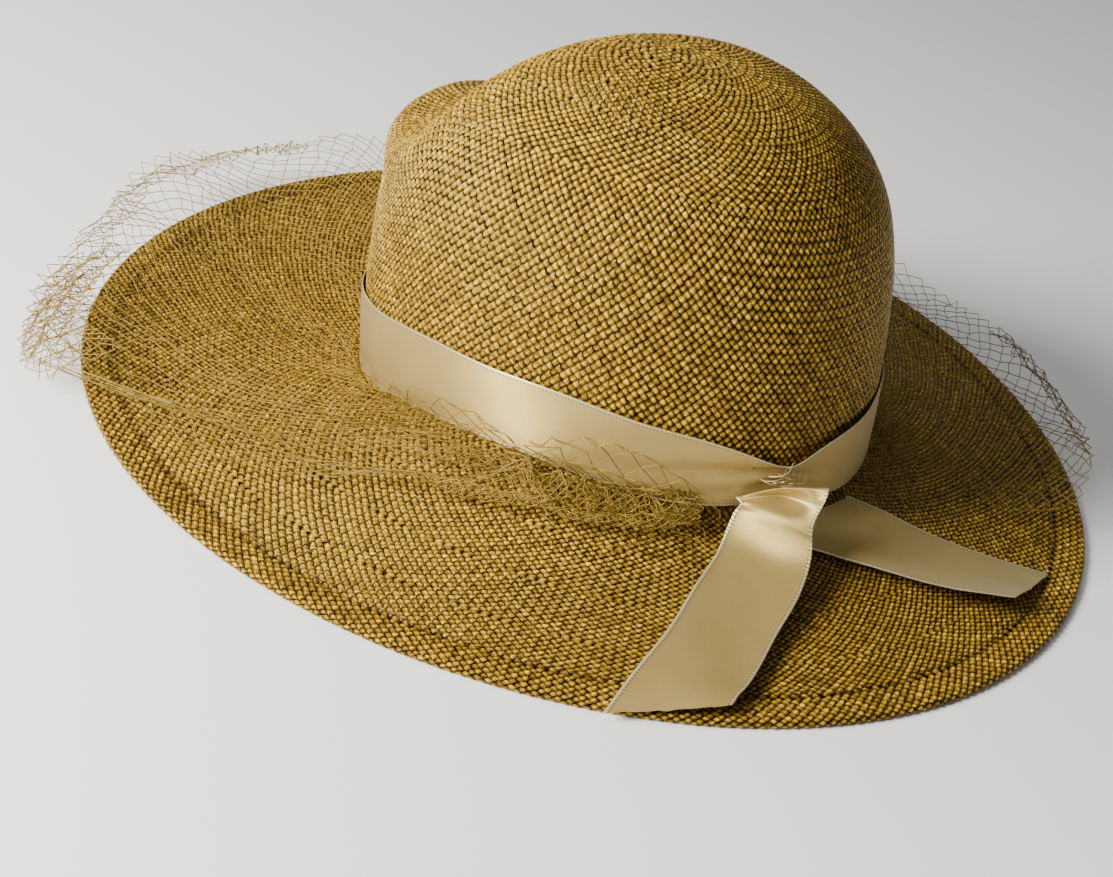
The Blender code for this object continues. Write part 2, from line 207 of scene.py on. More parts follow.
# %% A mesh from arrays
def mesh_piece(name, points, faces, uv=None, tone=None):
    """A mesh object from arrays of points and of quads or triangles."""
    faces = np.asarray(faces, np.int32)
    mesh = bpy.data.meshes.new(name)
    mesh.vertices.add(len(points))
    mesh.vertices.foreach_set("co", np.asarray(points, np.float32).ravel())
    mesh.loops.add(faces.size)
    mesh.loops.foreach_set("vertex_index", faces.ravel())
    mesh.polygons.add(len(faces))
    mesh.polygons.foreach_set("loop_start", np.arange(len(faces), dtype=np.int32) * faces.shape[1])
    mesh.update(calc_edges=True)
    mesh.polygons.foreach_set("use_smooth", np.full(len(faces), True))
    if uv is not None:
        layer = mesh.uv_layers.new(name="UVMap")
        layer.uv.foreach_set("vector", np.asarray(uv, np.float32)[faces.ravel()].ravel())
    if tone is not None:
        attribute = mesh.attributes.new("tone", "FLOAT", "POINT")
        attribute.data.foreach_set("value", np.asarray(tone, np.float32))
    piece = bpy.data.objects.new(name, mesh)
    bpy.context.scene.collection.objects.link(piece)
    return piece


def grid_faces(rows, columns, closed=False):
    """Quads of a grid of points stored row after row."""
    last_column = columns if closed else columns - 1
    row, column = np.meshgrid(np.arange(rows - 1), np.arange(last_column), indexing="ij")
    after = (column + 1) % columns
    here, there = row * columns, (row + 1) * columns
    return np.stack([here + column, here + after, there + after, there + column], -1).reshape(-1, 4)


# %% Colours and one small function that adds a node
def linear(hex_colour):
    """sRGB hex to the linear colour that shaders take, by the sRGB standard's own curve."""
    colour = []
    for place in (1, 3, 5):
        part = int(hex_colour[place:place + 2], 16) / 255
        colour.append(part / 12.92 if part <= 0.04045 else ((part + 0.055) / 1.055) ** 2.4)
    return tuple(colour) + (1.0,)


def new_material(name):
    """A material with its node tree and the shader node that every new material has."""
    material = bpy.data.materials.new(name)
    material.use_nodes = True
    tree = material.node_tree
    return material, tree, tree.nodes["Principled BSDF"]


def add_node(tree, kind, settings=None, inputs=None, links=None):
    """Add a node; inputs sets socket values and links joins other nodes' sockets to its own."""
    node = tree.nodes.new(kind)
    for key, value in (settings or {}).items():
        setattr(node, key, value)
    for key, value in (inputs or {}).items():
        node.inputs[key].default_value = value
    for key, socket in (links or {}).items():
        tree.links.new(socket, node.inputs[key])
    return node


# %% [markdown]
# ## The woven straw
#
# The hood is a plain weave, one over and one under, with its strands running at about 45 degrees to
# the way up the crown, as a hand-woven hat body is. Each strand is a flattened, slightly rounded
# reed about 2 mm wide. A bump texture would give the same pattern but a smooth edge and no depth
# between the strands, so every strand is its own waving strip here. As the hood widens, the weaver
# adds strands, so the strips are made ring by ring, each ring with a few more strands than the last.

# %% Sizes of the strands, and how far it is down the hood
# How far a strand lies over or under the middle of the weave, and how much lower its edges are
STRAND_LIFT = 0.62 * MM
STRAND_ROUND = 0.32 * MM
# Half a strand's width, and half the flat part of a crossing, as shares of the spacing
STRAND_FILL = 0.435
FLOAT_HALF = 0.28
ROW_HEIGHT = 1.61 * MM
BRIM_ROW_HEIGHT = 1.32 * MM

# Numbers of the stations at the crown's foot, at the start of the hem and at the hem's inner edge
FOOT_STATION, HEM_STATION, LAST_STATION = 500, 1000, 1500
stations = np.linspace(0.0, 3.0, LAST_STATION + 1)
sample_turns = np.linspace(0, 2 * math.pi, 72, endpoint=False)
station_points = np.stack([hood_point(np.full_like(stations, turn), stations) for turn in sample_turns])
steps = np.linalg.norm(np.diff(station_points, axis=1), axis=2).mean(axis=0)
travel = np.concatenate([[0], np.cumsum(steps)])
girth = np.linalg.norm(np.roll(station_points, -1, axis=0) - station_points, axis=2).sum(axis=0)
print("crown to foot %.0f mm, to hem %.0f mm, round the foot %.0f mm" % (
    travel[FOOT_STATION] / MM, travel[HEM_STATION] / MM, girth[FOOT_STATION] / MM))


def travel_at_radius(radius):
    """Distance down from the crown's top at which the crown has that mean radius."""
    crown = stations <= 1
    return np.interp(2 * math.pi * radius, girth[crown], travel[crown])


# %% [markdown]
# Each ring has the same number of strands running each way round it, and they stay about 2 mm apart,
# so a wider ring has more of them. The rings become four pieces, and a fifth for the hem.

# %% Where the rings of weave lie
# Piece, strands each way, mean radius where the ring starts
CROWN_RINGS = (
    ("straw_crown_top", 12, 4.0 * MM),
    ("straw_crown_top", 18, 7.5 * MM),
    ("straw_crown_top", 26, 11.0 * MM),
    ("straw_crown_top", 34, 14.5 * MM),
    ("straw_crown_top", 46, 19.5 * MM),
    ("straw_crown_top", 62, 26.0 * MM),
    ("straw_crown_top", 82, 34.0 * MM),
    ("straw_crown_top", 108, 45.0 * MM),
    ("straw_crown_top", 144, 60.0 * MM),
    ("straw_crown_wall", 192, 80.0 * MM),
)
# Piece, strands each way, share of the brim where the ring starts
BRIM_RINGS = (
    ("straw_brim_inner", 224, 0.00),
    ("straw_brim_inner", 252, 0.28),
    ("straw_brim_outer", 286, 0.54),
    ("straw_brim_outer", 318, 0.80),
)
HEM_STRANDS = 344


# %% [markdown]
# A strand is a strip three points wide: its middle stands higher than its edges, so light rounds it. At
# each crossing it lies flat over or under the other family, and it slopes in between. The same rule
# gives its tone, which holds painted shade: darker where it dives under, at its edges and in the groove
# of the hem, where little light gets in. Beside that, the tone differs a little from strand to strand.

# %% One ring of weave
# The first three are painted shade, taken off the tone where a strand dives under, at its edges and in the
# hem's groove; the last two shape the groove itself
UNDER_SHADE = 0.60
EDGE_SHADE = 0.42
GROOVE_SHADE = 0.22
GROOVE_DEPTH = 0.45 * MM
GROOVE_WIDTH = 0.8 * MM


def weave_ring(count, start, end, row_height, first_row, seed):
    """Both families of strands of one ring, as (points, tone, uv) grids of strand, place and side."""
    rng = np.random.default_rng(seed)
    rows = max(2, round((end - start) / row_height))
    spacing = (end - start) / rows
    crossings = np.arange(rows)
    floats = (crossings[:, None] + (-FLOAT_HALF, FLOAT_HALF)).ravel()
    place = np.concatenate([[-1.0], floats, [rows]])
    sides = np.array((1.0, 0.0, -1.0))
    built = []
    for family in (1, -1):
        strand, along, side = np.meshgrid(np.arange(count), place, sides, indexing="ij")
        across = side * STRAND_FILL * (1 + rng.normal(0, 0.04, (count, 1, 1)))
        across = across + rng.normal(0, 0.035, (count, 1, 1))
        across = across + rng.normal(0, 0.02, (count, len(place), 1))
        turn = math.pi / count * (2 * strand + across - family * along)
        down = start + (along + 0.5 + family * across) * spacing
        over = np.where((np.round(along) + first_row + (family < 0)) % 2 == 0, 1.0, -1.0)
        over[:, (0, -1)] = -0.5
        lift = over * STRAND_LIFT - np.abs(side) * STRAND_ROUND
        groove = np.exp(-((down - travel[HEM_STATION]) / GROOVE_WIDTH) ** 2)
        lift = lift + rng.normal(0, 0.03 * MM, (count, len(place), 1))
        lift = lift - STRAW_DEPTH - GROOVE_DEPTH * groove
        at = np.interp(np.clip(down, 0, travel[-1]), travel, stations)
        points = hood_point(turn, at) + hood_normal(turn, at) * lift[..., None]
        tone = rng.normal(0.62, 0.05, (count, 1, 1)) + rng.normal(0, 0.06, (count, len(place), 1))
        # Painted shade: the tone drops where the strand dives under, towards its edges and in the hem's
        # groove
        tone = tone + 0.14 - UNDER_SHADE * (over < 0) - EDGE_SHADE * np.abs(side)
        tone = tone - GROOVE_SHADE * groove
        length = along * 1.4 * spacing / MM
        width = across * 2.4 + strand * 3.0
        built.append((points, tone, np.stack([length, width], -1)))
    return rows, built


def strips_to_arrays(grids):
    """Join grids of strips into one array of points, faces, UVs and tones."""
    points, faces, uvs, tones, base = [], [], [], [], 0
    for grid, tone, uv in grids:
        count, places, sides = grid.shape[:3]
        quads = grid_faces(places, sides)
        ring = base + np.arange(count)[:, None, None] * places * sides + quads[None]
        faces.append(ring.reshape(-1, 4))
        points.append(grid.reshape(-1, 3))
        uvs.append(uv.reshape(-1, 2))
        tones.append(tone.ravel())
        base += count * places * sides
    return np.concatenate(points), np.concatenate(faces), np.concatenate(uvs), np.concatenate(tones)


# %% [markdown]
# Rings can't close at the very top, where their strands would meet in a point. A hand-woven hat begins
# with straight strands that cross square, so a small square patch of them fills the middle.

# %% The patch at the top, where the weaving begins
PATCH_RADIUS = 8 * MM
PATCH_DEPTH = 0.25 * MM


def weave_patch(reach, pitch, seed):
    """The straight strands that cross at the top of the crown, out to a reach, so far apart."""
    rng = np.random.default_rng(seed)
    half = int(reach / pitch)
    steps = np.arange(-half, half + 1)
    place = (steps[:, None] + (-FLOAT_HALF, FLOAT_HALF)).ravel()
    sides = np.array((-1.0, 0.0, 1.0))
    patch_travel = travel_at_radius(PATCH_RADIUS)
    patch_along = np.interp(patch_travel, travel, stations)
    built = []
    for family in (0, 1):
        strand, along, side = np.meshgrid(steps, place, sides, indexing="ij")
        over = np.where((np.round(along) + strand + family) % 2 == 0, 1.0, -1.0)
        lengthwise, sideways = along * pitch, (strand + side * STRAND_FILL) * pitch
        x, y = (lengthwise, sideways) if family == 0 else (sideways, -lengthwise)
        turn, far = np.arctan2(-x, y), np.hypot(x, y)
        at = np.interp(far, [0, patch_travel], [0.0, patch_along])
        lift = over * STRAND_LIFT - np.abs(side) * STRAND_ROUND - STRAW_DEPTH - PATCH_DEPTH
        # The very tip has no direction round it, so its normal is read just beside it
        points = hood_point(turn, at) + hood_normal(turn, np.maximum(at, 0.004)) * lift[..., None]
        # Painted shade: the tone drops where a strand dives under and towards its edges
        tone = rng.normal(0.70, 0.05, (len(steps), 1, 1)) - 0.55 * (over < 0) - 0.30 * np.abs(side)
        built.append((points, tone, np.stack([along * 2.0, side * 1.1 + strand * 3.0], -1)))
    return built


# %% [markdown]
# The rings are woven one below the other. Each starts on the row after the last one's, so that over and
# under carry on from ring to ring, and the rings of one piece are joined into one mesh.

# %% Weave every ring and join the rings of each piece
woven = {"straw_crown_top": weave_patch(6.5 * MM, 2.2 * MM, 99)}
first_row = 0
ring_plan = []
starts = [travel_at_radius(radius) for _, _, radius in CROWN_RINGS] + [travel[FOOT_STATION]]
for index, (name, count, _) in enumerate(CROWN_RINGS):
    ring_plan.append((name, count, starts[index], starts[index + 1], ROW_HEIGHT))
brim_starts = [np.interp(1 + out, stations, travel) for _, _, out in BRIM_RINGS]
brim_starts.append(travel[HEM_STATION])
for index, (name, count, _) in enumerate(BRIM_RINGS):
    ring_plan.append((name, count, brim_starts[index], brim_starts[index + 1], BRIM_ROW_HEIGHT))
ring_plan.append(("straw_hem", HEM_STRANDS, travel[HEM_STATION], travel[-1], BRIM_ROW_HEIGHT))
for seed, (name, count, start, end, row_height) in enumerate(ring_plan):
    rows, grids = weave_ring(count, start, end, row_height, first_row, seed)
    first_row += rows
    woven.setdefault(name, []).extend(grids)
straw_pieces = []
for name, grids in woven.items():
    points, faces, uv, tone = strips_to_arrays(grids)
    piece = mesh_piece(name, points, faces, uv, tone)
    straw_pieces.append(piece)
    print(name, 2 * len(faces), "triangles")


# %% [markdown]
# The strands are dyed raffia-like reed: a waxy, finely streaked surface with a soft yellowish shine.
# Each strand has its own tone, kept in the attribute `tone`, which also carries the painted shade of
# the weave, and a colour ramp turns it from dark brown to straw yellow. Long streaks run down it, which
# is why the noise reads the UV map, whose first axis runs along the strand and whose second runs across
# it, both nearly in mm: the noise is stretched to streaks about 10 mm long and 0.3 mm wide. They also
# roughen the wax and stand up a little.

# %% Straw material
# The two dark stops are met only where painted shade lowers the tone; the straw's own colours lie higher
STRAW_COLOURS = ((0.0, "#1C1103"), (0.30, "#46320A"), (0.62, "#93701A"), (1.0, "#FBD04A"))


def make_straw():
    """Waxy dyed reed, from the tone of each point and streaks along the strands."""
    material, tree, shader = new_material("dyed_woven_reed")
    # The tone carries each strand's own tone and the painted shade of the weave
    tone = add_node(tree, "ShaderNodeAttribute", {"attribute_name": "tone"})
    uv = add_node(tree, "ShaderNodeUVMap")
    stretch = add_node(tree, "ShaderNodeMapping", None, {"Scale": (0.10, 3.2, 1.0)},
                       {"Vector": uv.outputs["UV"]})
    streak = add_node(tree, "ShaderNodeTexNoise", {"noise_dimensions": "2D"},
                      {"Scale": 1.0, "Detail": 3.0, "Roughness": 0.6}, {"Vector": stretch.outputs["Vector"]})
    spread = add_node(tree, "ShaderNodeMapRange", None,
                      {"From Min": 0.3, "From Max": 0.7, "To Min": -0.22, "To Max": 0.22},
                      {"Value": streak.outputs["Fac"]})
    mixed = add_node(tree, "ShaderNodeMath", {"operation": "ADD"},
                     links={0: tone.outputs["Fac"], 1: spread.outputs["Result"]})
    ramp = add_node(tree, "ShaderNodeValToRGB", links={"Fac": mixed.outputs["Value"]})
    stops = ramp.color_ramp.elements
    for stop, (position, colour) in zip((stops[0], stops[1]), (STRAW_COLOURS[0], STRAW_COLOURS[-1])):
        stop.position = position
        stop.color = linear(colour)
    for position, colour in STRAW_COLOURS[1:-1]:
        stops.new(position).color = linear(colour)
    tree.links.new(ramp.outputs["Color"], shader.inputs["Base Color"])
    rough = add_node(tree, "ShaderNodeMapRange", None, {"To Min": 0.24, "To Max": 0.40},
                     {"Value": streak.outputs["Fac"]})
    tree.links.new(rough.outputs["Result"], shader.inputs["Roughness"])
    shader.inputs["Specular Tint"].default_value = linear("#FFDC8C")
    bump = add_node(tree, "ShaderNodeBump", None, {"Strength": 0.5, "Distance": 0.12 * MM},
                    {"Height": streak.outputs["Fac"]})
    tree.links.new(bump.outputs["Normal"], shader.inputs["Normal"])
    return material


straw_material = make_straw()
for piece in straw_pieces:
    piece.data.materials.append(straw_material)
    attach(piece, "root")
    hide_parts("straw_hood")
print("straw pieces:", ", ".join(piece.name for piece in straw_pieces))


# %% [markdown]
# ## The hem's stitches
#
# The edge of the brim is turned under and sewn down with a dark thread that shows as short stitches in
# a slight groove, 11 mm in from the edge. One stitch starts as Blender's own sphere, stretched to a
# small tapered capsule.

# %% One stitch
STITCH_LENGTH = 2.6 * MM
STITCH_HALF_WIDTH = 0.24 * MM
STITCH_HALF_THICKNESS = 0.20 * MM
STITCH_SPACING = 4.1 * MM
STITCH_SUNK = 0.10 * MM
# The seam runs just inside the start of the hem, which is at 2 down the hood
SEAM_ALONG = 1.985
bpy.ops.object.select_all(action="DESELECT")
bpy.ops.mesh.primitive_uv_sphere_add(segments=6, ring_count=5, radius=1.0)
pattern = bpy.context.object
stitch_points = np.empty(3 * len(pattern.data.vertices))
pattern.data.vertices.foreach_get("co", stitch_points)
stitch_size = (STITCH_LENGTH / 2, STITCH_HALF_WIDTH, STITCH_HALF_THICKNESS)
stitch_points = stitch_points.reshape(-1, 3)[:, (2, 0, 1)] * stitch_size
triangles = []
for polygon in pattern.data.polygons:
    corners = list(polygon.vertices)
    triangles += [(corners[0], corners[place], corners[place + 1]) for place in range(1, len(corners) - 1)]
# Blender lists a new sphere's faces in an order that can change from run to run, so they are sorted
triangles.sort()
bpy.data.objects.remove(pattern)
print("one stitch:", len(stitch_points), "points,", len(triangles), "triangles")


# %% [markdown]
# The seam is measured, so that the stitches keep one spacing all the way round, and each stitch gets
# its own frame there: ahead along the seam, aside, and out from the straw. A slight slant and a place
# a little off the line make them look hand-sewn. All the copies are joined into one mesh.

# %% The stitches along the seam
def path_length(path):
    """Distance travelled at each point of a path."""
    return np.concatenate([[0], np.cumsum(np.linalg.norm(np.diff(path, axis=0), axis=1))])


seam_turns = np.linspace(-math.pi, math.pi, 2881)
seam_length = path_length(hood_point(seam_turns, np.full_like(seam_turns, SEAM_ALONG)))
stitch_count = int(seam_length[-1] / STITCH_SPACING)
stitch_turns = np.interp(np.arange(stitch_count) * STITCH_SPACING, seam_length, seam_turns)
stitch_rng = np.random.default_rng(31)
seam_along = SEAM_ALONG + stitch_rng.normal(0, 0.004, stitch_count)
middles = hood_point(stitch_turns, seam_along)
normals = hood_normal(stitch_turns, seam_along)
ahead = hood_point(stitch_turns + 0.004, seam_along) - hood_point(stitch_turns - 0.004, seam_along)
ahead = ahead / np.linalg.norm(ahead, axis=1, keepdims=True)
aside = np.cross(normals, ahead)
slant = stitch_rng.normal(0.10, 0.06, stitch_count)[:, None]
ahead, aside = ahead + slant * aside, aside - slant * ahead
frames = np.stack([ahead, aside, normals], 1)
stitches = middles[:, None] + np.einsum("vk,nkc->nvc", stitch_points, frames)
stitches = stitches - STITCH_SUNK * normals[:, None]
stitch_faces = np.arange(stitch_count)[:, None, None] * len(stitch_points) + np.array(triangles)[None]
hem_stitches = mesh_piece("hem_stitches", stitches.reshape(-1, 3), stitch_faces.reshape(-1, 3))
print("hem stitches:", stitch_count, "stitches,", stitch_count * len(triangles), "triangles")


# %% [markdown]
# The stitches are cotton sewing thread, dyed dark brown and spun from matt fibre, so one plain colour
# with a high roughness is enough at this size.

# %% Sewing thread
stitch_material, _, stitch_shader = new_material("dark_cotton_thread")
stitch_shader.inputs["Base Color"].default_value = linear("#4A300F")
stitch_shader.inputs["Roughness"].default_value = 0.6
hem_stitches.data.materials.append(stitch_material)
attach(hem_stitches, "root")


# %% [markdown]
# ## The satin ribbon
#
# The ribbon is polyester satin about 28.5 mm wide with a woven edge on both sides. It goes round the
# foot of the crown, is drawn together at the back and held by a few stitches, and its two ends lie out
# over the brim. Each length is a fine grid laid along its path with the UV map in millimetres (along,
# across), so that the satin's grain and its woven edges follow the ribbon wherever it goes. A thin
# Solidify gives it its two faces. Left and right of the gather are as the camera sees it.

# %% Ribbon sizes and the gather
RIBBON_WIDTH = 28.5 * MM
RIBBON_THICKNESS = 0.3 * MM
GATHER_TURN = math.radians(-8.6)
GATHER_HEIGHT = 17 * MM
GATHER_WIDTH = 11 * MM
GATHER_REACH = 20 * MM
GATHER_POWER = 1.2
BAND_LOW = 1.8 * MM
# Places across the ribbon, from its lower edge (-1) to its upper one (1), closer at the woven edges
EDGE_SIDES = np.array((-1, -0.975, -0.945, -0.9, -0.8, -0.65, -0.5, -0.33, -0.16, 0,
                       0.16, 0.33, 0.5, 0.65, 0.8, 0.9, 0.945, 0.975, 1))


def climb_at(height):
    """How far up the crown's own curve a height above its foot lies, from 0 to 1."""
    samples = np.linspace(0, 1, 401)
    high, _ = smooth_rows(CROWN_ROWS, samples)
    return np.interp(height, high * CROWN_HEIGHT, samples)


def wall_point(turn, height, off):
    """A point at a height above the crown's foot and a distance off its wall."""
    along = 1 - climb_at(height)
    return hood_point(turn, along) + hood_normal(turn, along) * np.asarray(off)[..., None]


def picot(along, side):
    """The small ridge and scallops of the woven edge, as a height off the ribbon's face."""
    ridge = np.exp(-((np.abs(side) - 0.965) / 0.022) ** 2) * 0.16 * MM
    return ridge * (1 + 0.5 * np.sin(2 * math.pi * along / (1.3 * MM)))


def ribbon_piece(name, grid, length_across):
    """A ribbon from a grid of points (along, across) with the UV map in millimetres."""
    rows, columns = grid.shape[:2]
    faces = grid_faces(rows, columns)[:, ::-1]
    piece = mesh_piece(name, grid.reshape(-1, 3), faces, length_across.reshape(-1, 2) / MM)
    thick = piece.modifiers.new("two faces", "SOLIDIFY")
    thick.thickness = RIBBON_THICKNESS
    thick.offset = 0
    print(name, len(faces), "quads before its thickness")
    return piece


def band_edges(apart):
    """Heights of the band's lower and upper edge at a distance round the crown from the gather."""
    drawn = np.exp(-(apart / GATHER_REACH) ** GATHER_POWER)
    lower = BAND_LOW + (GATHER_HEIGHT - GATHER_WIDTH / 2 - BAND_LOW) * drawn
    upper = BAND_LOW + RIBBON_WIDTH
    return lower, upper + (GATHER_HEIGHT + GATHER_WIDTH / 2 - upper) * drawn, drawn


def valley_left(apart):
    """Where the fold to the left of the gather runs, across the band from -1 to 1."""
    return 0.85 - 1.05 * (apart / (42 * MM)) ** 0.7


# %% [markdown]
# The band passes under the gather, where it is drawn from its full width to 11 mm; its grid starts and
# ends half a round away. From the gather folds run out and fade: a valley that starts near the upper
# edge and sinks to each side, with a ridge over it and a shallower valley under it. The rest lies a
# little slack on the straw. A cloth simulation would find folds too, but not these ones, so they are
# drawn as distances off the wall, in millimetres.

# %% The band round the crown
def make_band():
    """The band as a grid all round the crown, closed on the side away from the gather."""
    offsets = np.linspace(-math.pi, math.pi, 961)
    turn, side = np.meshgrid(GATHER_TURN + offsets, EDGE_SIDES, indexing="ij")
    apart = np.abs(np.broadcast_to(offsets[:, None], turn.shape)) * CROWN_WIDTH / 2
    lower, upper, drawn = band_edges(apart)
    height = lower + (upper - lower) * (side + 1) / 2
    height = height + 0.5 * MM * np.sin(3 * turn + 1) + 0.25 * MM * np.sin(11 * turn)
    on_left = np.broadcast_to(offsets[:, None] < 0, turn.shape)
    fade = np.exp(-(apart / np.where(on_left, 40 * MM, 26 * MM)) ** 2)
    valley = np.where(on_left, valley_left(apart), 0.70 - 1.3 * apart / (34 * MM))
    folds = 1.5 - 1.9 * np.exp(-((side - valley) / 0.15) ** 2)
    folds = folds + 0.5 * np.exp(-((side - valley - 0.42) / 0.22) ** 2)
    folds = folds - 0.9 * np.exp(-((side - valley + 0.75) / 0.20) ** 2)
    off = 0.55 * MM + MM * fade * folds + 1.2 * MM * drawn
    slack = 0.30 * np.sin(5 * turn + 1.4 * side)
    slack = slack + 0.22 * np.sin(13 * turn - 2.0 * side) * (side + 1) / 2
    off = np.maximum(off + MM * (0.3 + slack), 0.35 * MM) + picot(apart, side)
    grid = wall_point(turn, height, off)
    return ribbon_piece("satin_band", grid, np.stack([apart, (side + 1) / 2 * RIBBON_WIDTH], -1))


band = make_band()


# %% [markdown]
# Each loose end follows a middle line over the brim, read off the photograph through the camera. The
# front one starts up at the gather with a folded edge, comes down to the straw and ends at the brim's
# edge in a slanted cut. The other comes out from under the gather and lies flat on the brim.

# %% The middle lines of the two loose ends
# Turn (degrees), share of the brim from the crown's foot to the hem, height as a share of END_LIFT
FRONT_END_ROWS = (
    (-10.6, 0.012, 1.66), (-12.3, 0.075, 1.22), (-14.1, 0.170, 0.88), (-17.3, 0.34, 0.52),
    (-22, 0.56, 0.38), (-26, 0.84, 0.34), (-28.3, 1.01, 0.30), (-29.8, 1.16, 0.24),
)
SIDE_END_ROWS = (
    (0, 0.03, 0.15), (6, 0.15, 0.12), (10, 0.30, 0.24), (14, 0.51, 0.26),
    (17.2, 0.72, 0.26), (20.2, 0.95, 0.22),
)
END_LIFT = 12 * MM


def smooth_table(rows, at):
    """All columns of a table at places between 0 and 1, along a smooth curve through its rows."""
    table = np.array(rows, float)
    padded = np.vstack([2 * table[0] - table[1], table, 2 * table[-1] - table[-2]])
    place = np.clip(at, 0, 1) * (len(table) - 1)
    index = np.minimum(place.astype(int), len(table) - 2)
    part = (place - index)[:, None]
    before, start, end, after = (padded[index + step] for step in range(4))
    smooth = 2 * start + (end - before) * part
    smooth = smooth + (2 * before - 5 * start + 4 * end - after) * part ** 2
    return (smooth + (3 * start - before - 3 * end + after) * part ** 3) / 2


def brim_frame(turn, out):
    """Points on top of the brim and the upward normals there, also a little beyond the hem."""
    step = 0.01
    around = brim_point(turn + step, out) - brim_point(turn - step, out)
    outward = brim_point(turn, out + step) - brim_point(turn, out - step)
    normal = np.cross(outward, around)
    return brim_point(turn, out) + HAT_PLACE, normal / np.linalg.norm(normal, axis=-1, keepdims=True)


def unit(vectors):
    """Vectors of the same directions, one long."""
    return vectors / np.linalg.norm(vectors, axis=1, keepdims=True)


# %% [markdown]
# The ribbon is laid across its middle line, a third of it at each end being shaped: the first edge by
# its own reach, the last by the slant of the cut, with a small wave for the frayed threads. Near the
# start the line drops steeply, so the direction across it is held until it has settled; near the cut
# the line bends, so the direction in which the cut reaches out is held from there on. Without that, a
# corner of the cut is notched.

# %% A loose end along its middle line
SETTLED = 0.22
STEADY = 0.72
FRAY_DEPTH = 0.5 * MM
WAIST_AT = 0.16
WAIST_SPREAD = 0.12


def make_end(rows, steps, start_reach, start_pull, waist, end_slant, curl):
    """Points, UVs and normals of a loose end; start_reach and start_pull shape its first edge."""
    share = np.linspace(0, 1, steps)
    middle_line = smooth_table(rows, share)
    place, normal = brim_frame(np.radians(middle_line[:, 0]), middle_line[:, 1])
    path = place + normal * (middle_line[:, 2] * END_LIFT)[:, None]
    along = unit(np.gradient(path, axis=0))
    heading = along.copy()
    heading[:, 2] = 0
    settled = int(SETTLED * steps)
    heading[:settled] = heading[settled]
    steady = int(STEADY * steps)
    cut_heading = along.copy()
    cut_heading[steady:] = along[steady]
    across = unit(np.cross(heading, normal))
    face = unit(np.cross(across, along))
    length = path_length(path)
    near_start, near_end = np.maximum(0, 1 - 3 * share) ** 1.5, np.maximum(0, 3 * share - 2)
    side = EDGE_SIDES[None, :]
    reach = near_start[:, None] * start_reach(side) + near_end[:, None] * end_slant * side / 2
    fray = FRAY_DEPTH * near_end[:, None] ** 12 * np.sin(37 * side + 2) * np.cos(91 * side)
    reach = reach + fray * (1 - side ** 8)
    pulled = side * RIBBON_WIDTH / 2 * (1 - start_pull * near_start[:, None] * (side < 0))
    pulled = pulled * (1 - waist * np.exp(-((share - WAIST_AT) / WAIST_SPREAD) ** 2))[:, None]
    grid = path[:, None] + across[:, None] * pulled[..., None]
    grid = grid + cut_heading[:, None] * reach[..., None]
    lift = curl(share[:, None], side) + picot(length[:, None] + reach, side)
    grid = grid + face[:, None] * lift[..., None]
    uv = np.stack([length[:, None] + reach, 0 * reach + (side + 1) / 2 * RIBBON_WIDTH], -1)
    return grid, uv, face


def fold_under(grid, uv, face, count, depth):
    """Turn the first edge of an end back under itself, as a soft fold."""
    under = grid[count:0:-1] - face[count:0:-1, None] * depth
    lip = grid[:1] - face[:1, None] * depth / 2 - (grid[1:2] - grid[:1]) * 1.2
    uv_under = 2 * uv[:1] - uv[count:0:-1] - (2 * MM, 0)
    uv_lip = uv[:1] - (1 * MM, 0)
    return np.concatenate([under, lip, grid]), np.concatenate([uv_under, uv_lip, uv])


# %% [markdown]
# What makes each end its own is small: how its first edge slopes, and how far it curls off its middle
# line. `share` runs from 0 at the gather to 1 at the cut, and `side` from -1 to 1 across. The front end
# has a hollow pocket just under its folded edge, with a raised rim below, where the satin shines.

# %% The shapes that belong to each end
def front_start(side):
    """The first edge is held at the gather and slopes down from there to its left corner."""
    return MM * np.where(side > 0, 9.5 * np.abs(side) ** 1.3 + 3.0 * side, 6.0 * side)


def front_curl(share, side):
    """The front end's slow wave and the pocket where it comes away from the gather."""
    pocket = np.exp(-((share - 0.075) / 0.050) ** 2) * np.exp(-((side + 0.02) / 0.62) ** 2)
    rim = np.exp(-((share - 0.22) / 0.100) ** 2) * (1 - 1.3 * side ** 2)
    tuck = np.maximum(0, 1 - share / 0.05) * (-1.2 * MM) * side ** 2
    curl = 0.8 * MM * side ** 2 * share - 3.6 * MM * pocket + 1.6 * MM * rim + tuck
    return curl + 0.5 * MM * np.sin(9 * share + side)


def side_start(side):
    """The first edge is slanted, by 16 mm to each side of the middle line's start."""
    return -16 * MM * side


def side_curl(share, side):
    """The side end tilts up along its near edge and is crumpled at its cut."""
    tip = np.maximum(0, (share - 0.90) / 0.10)
    crumple = tip * 0.45 * MM * np.sin(17 * side + 40 * share) * np.cos(5 * side)
    tilt = MM * share * np.where(side > 0, 5.0 * side, 1.6 * side)
    return 0.5 * MM * side ** 2 + 0.5 * MM * np.sin(8 * share + 1.5 * side) + crumple + tilt


# %% The two loose ends
FRONT_CUT_SLANT = 24 * MM
SIDE_CUT_SLANT = -26 * MM
front_grid, front_uv, front_face = make_end(
    FRONT_END_ROWS, 340, front_start, 0.25, 0.12, FRONT_CUT_SLANT, front_curl)
front_grid, front_uv = fold_under(front_grid, front_uv, front_face, 14, 0.8 * MM)
side_grid, side_uv, _ = make_end(
    SIDE_END_ROWS, 300, side_start, 0.0, 0.0, SIDE_CUT_SLANT, side_curl)
front_end = ribbon_piece("satin_end_front", front_grid, front_uv)
side_end = ribbon_piece("satin_end_side", side_grid, side_uv)


# %% [markdown]
# Threads are tubes with three sides and open ends: they are less than half a millimetre thick, so a
# rounder tube would look the same, and the net needs thousands. Smooth shading makes them look round.

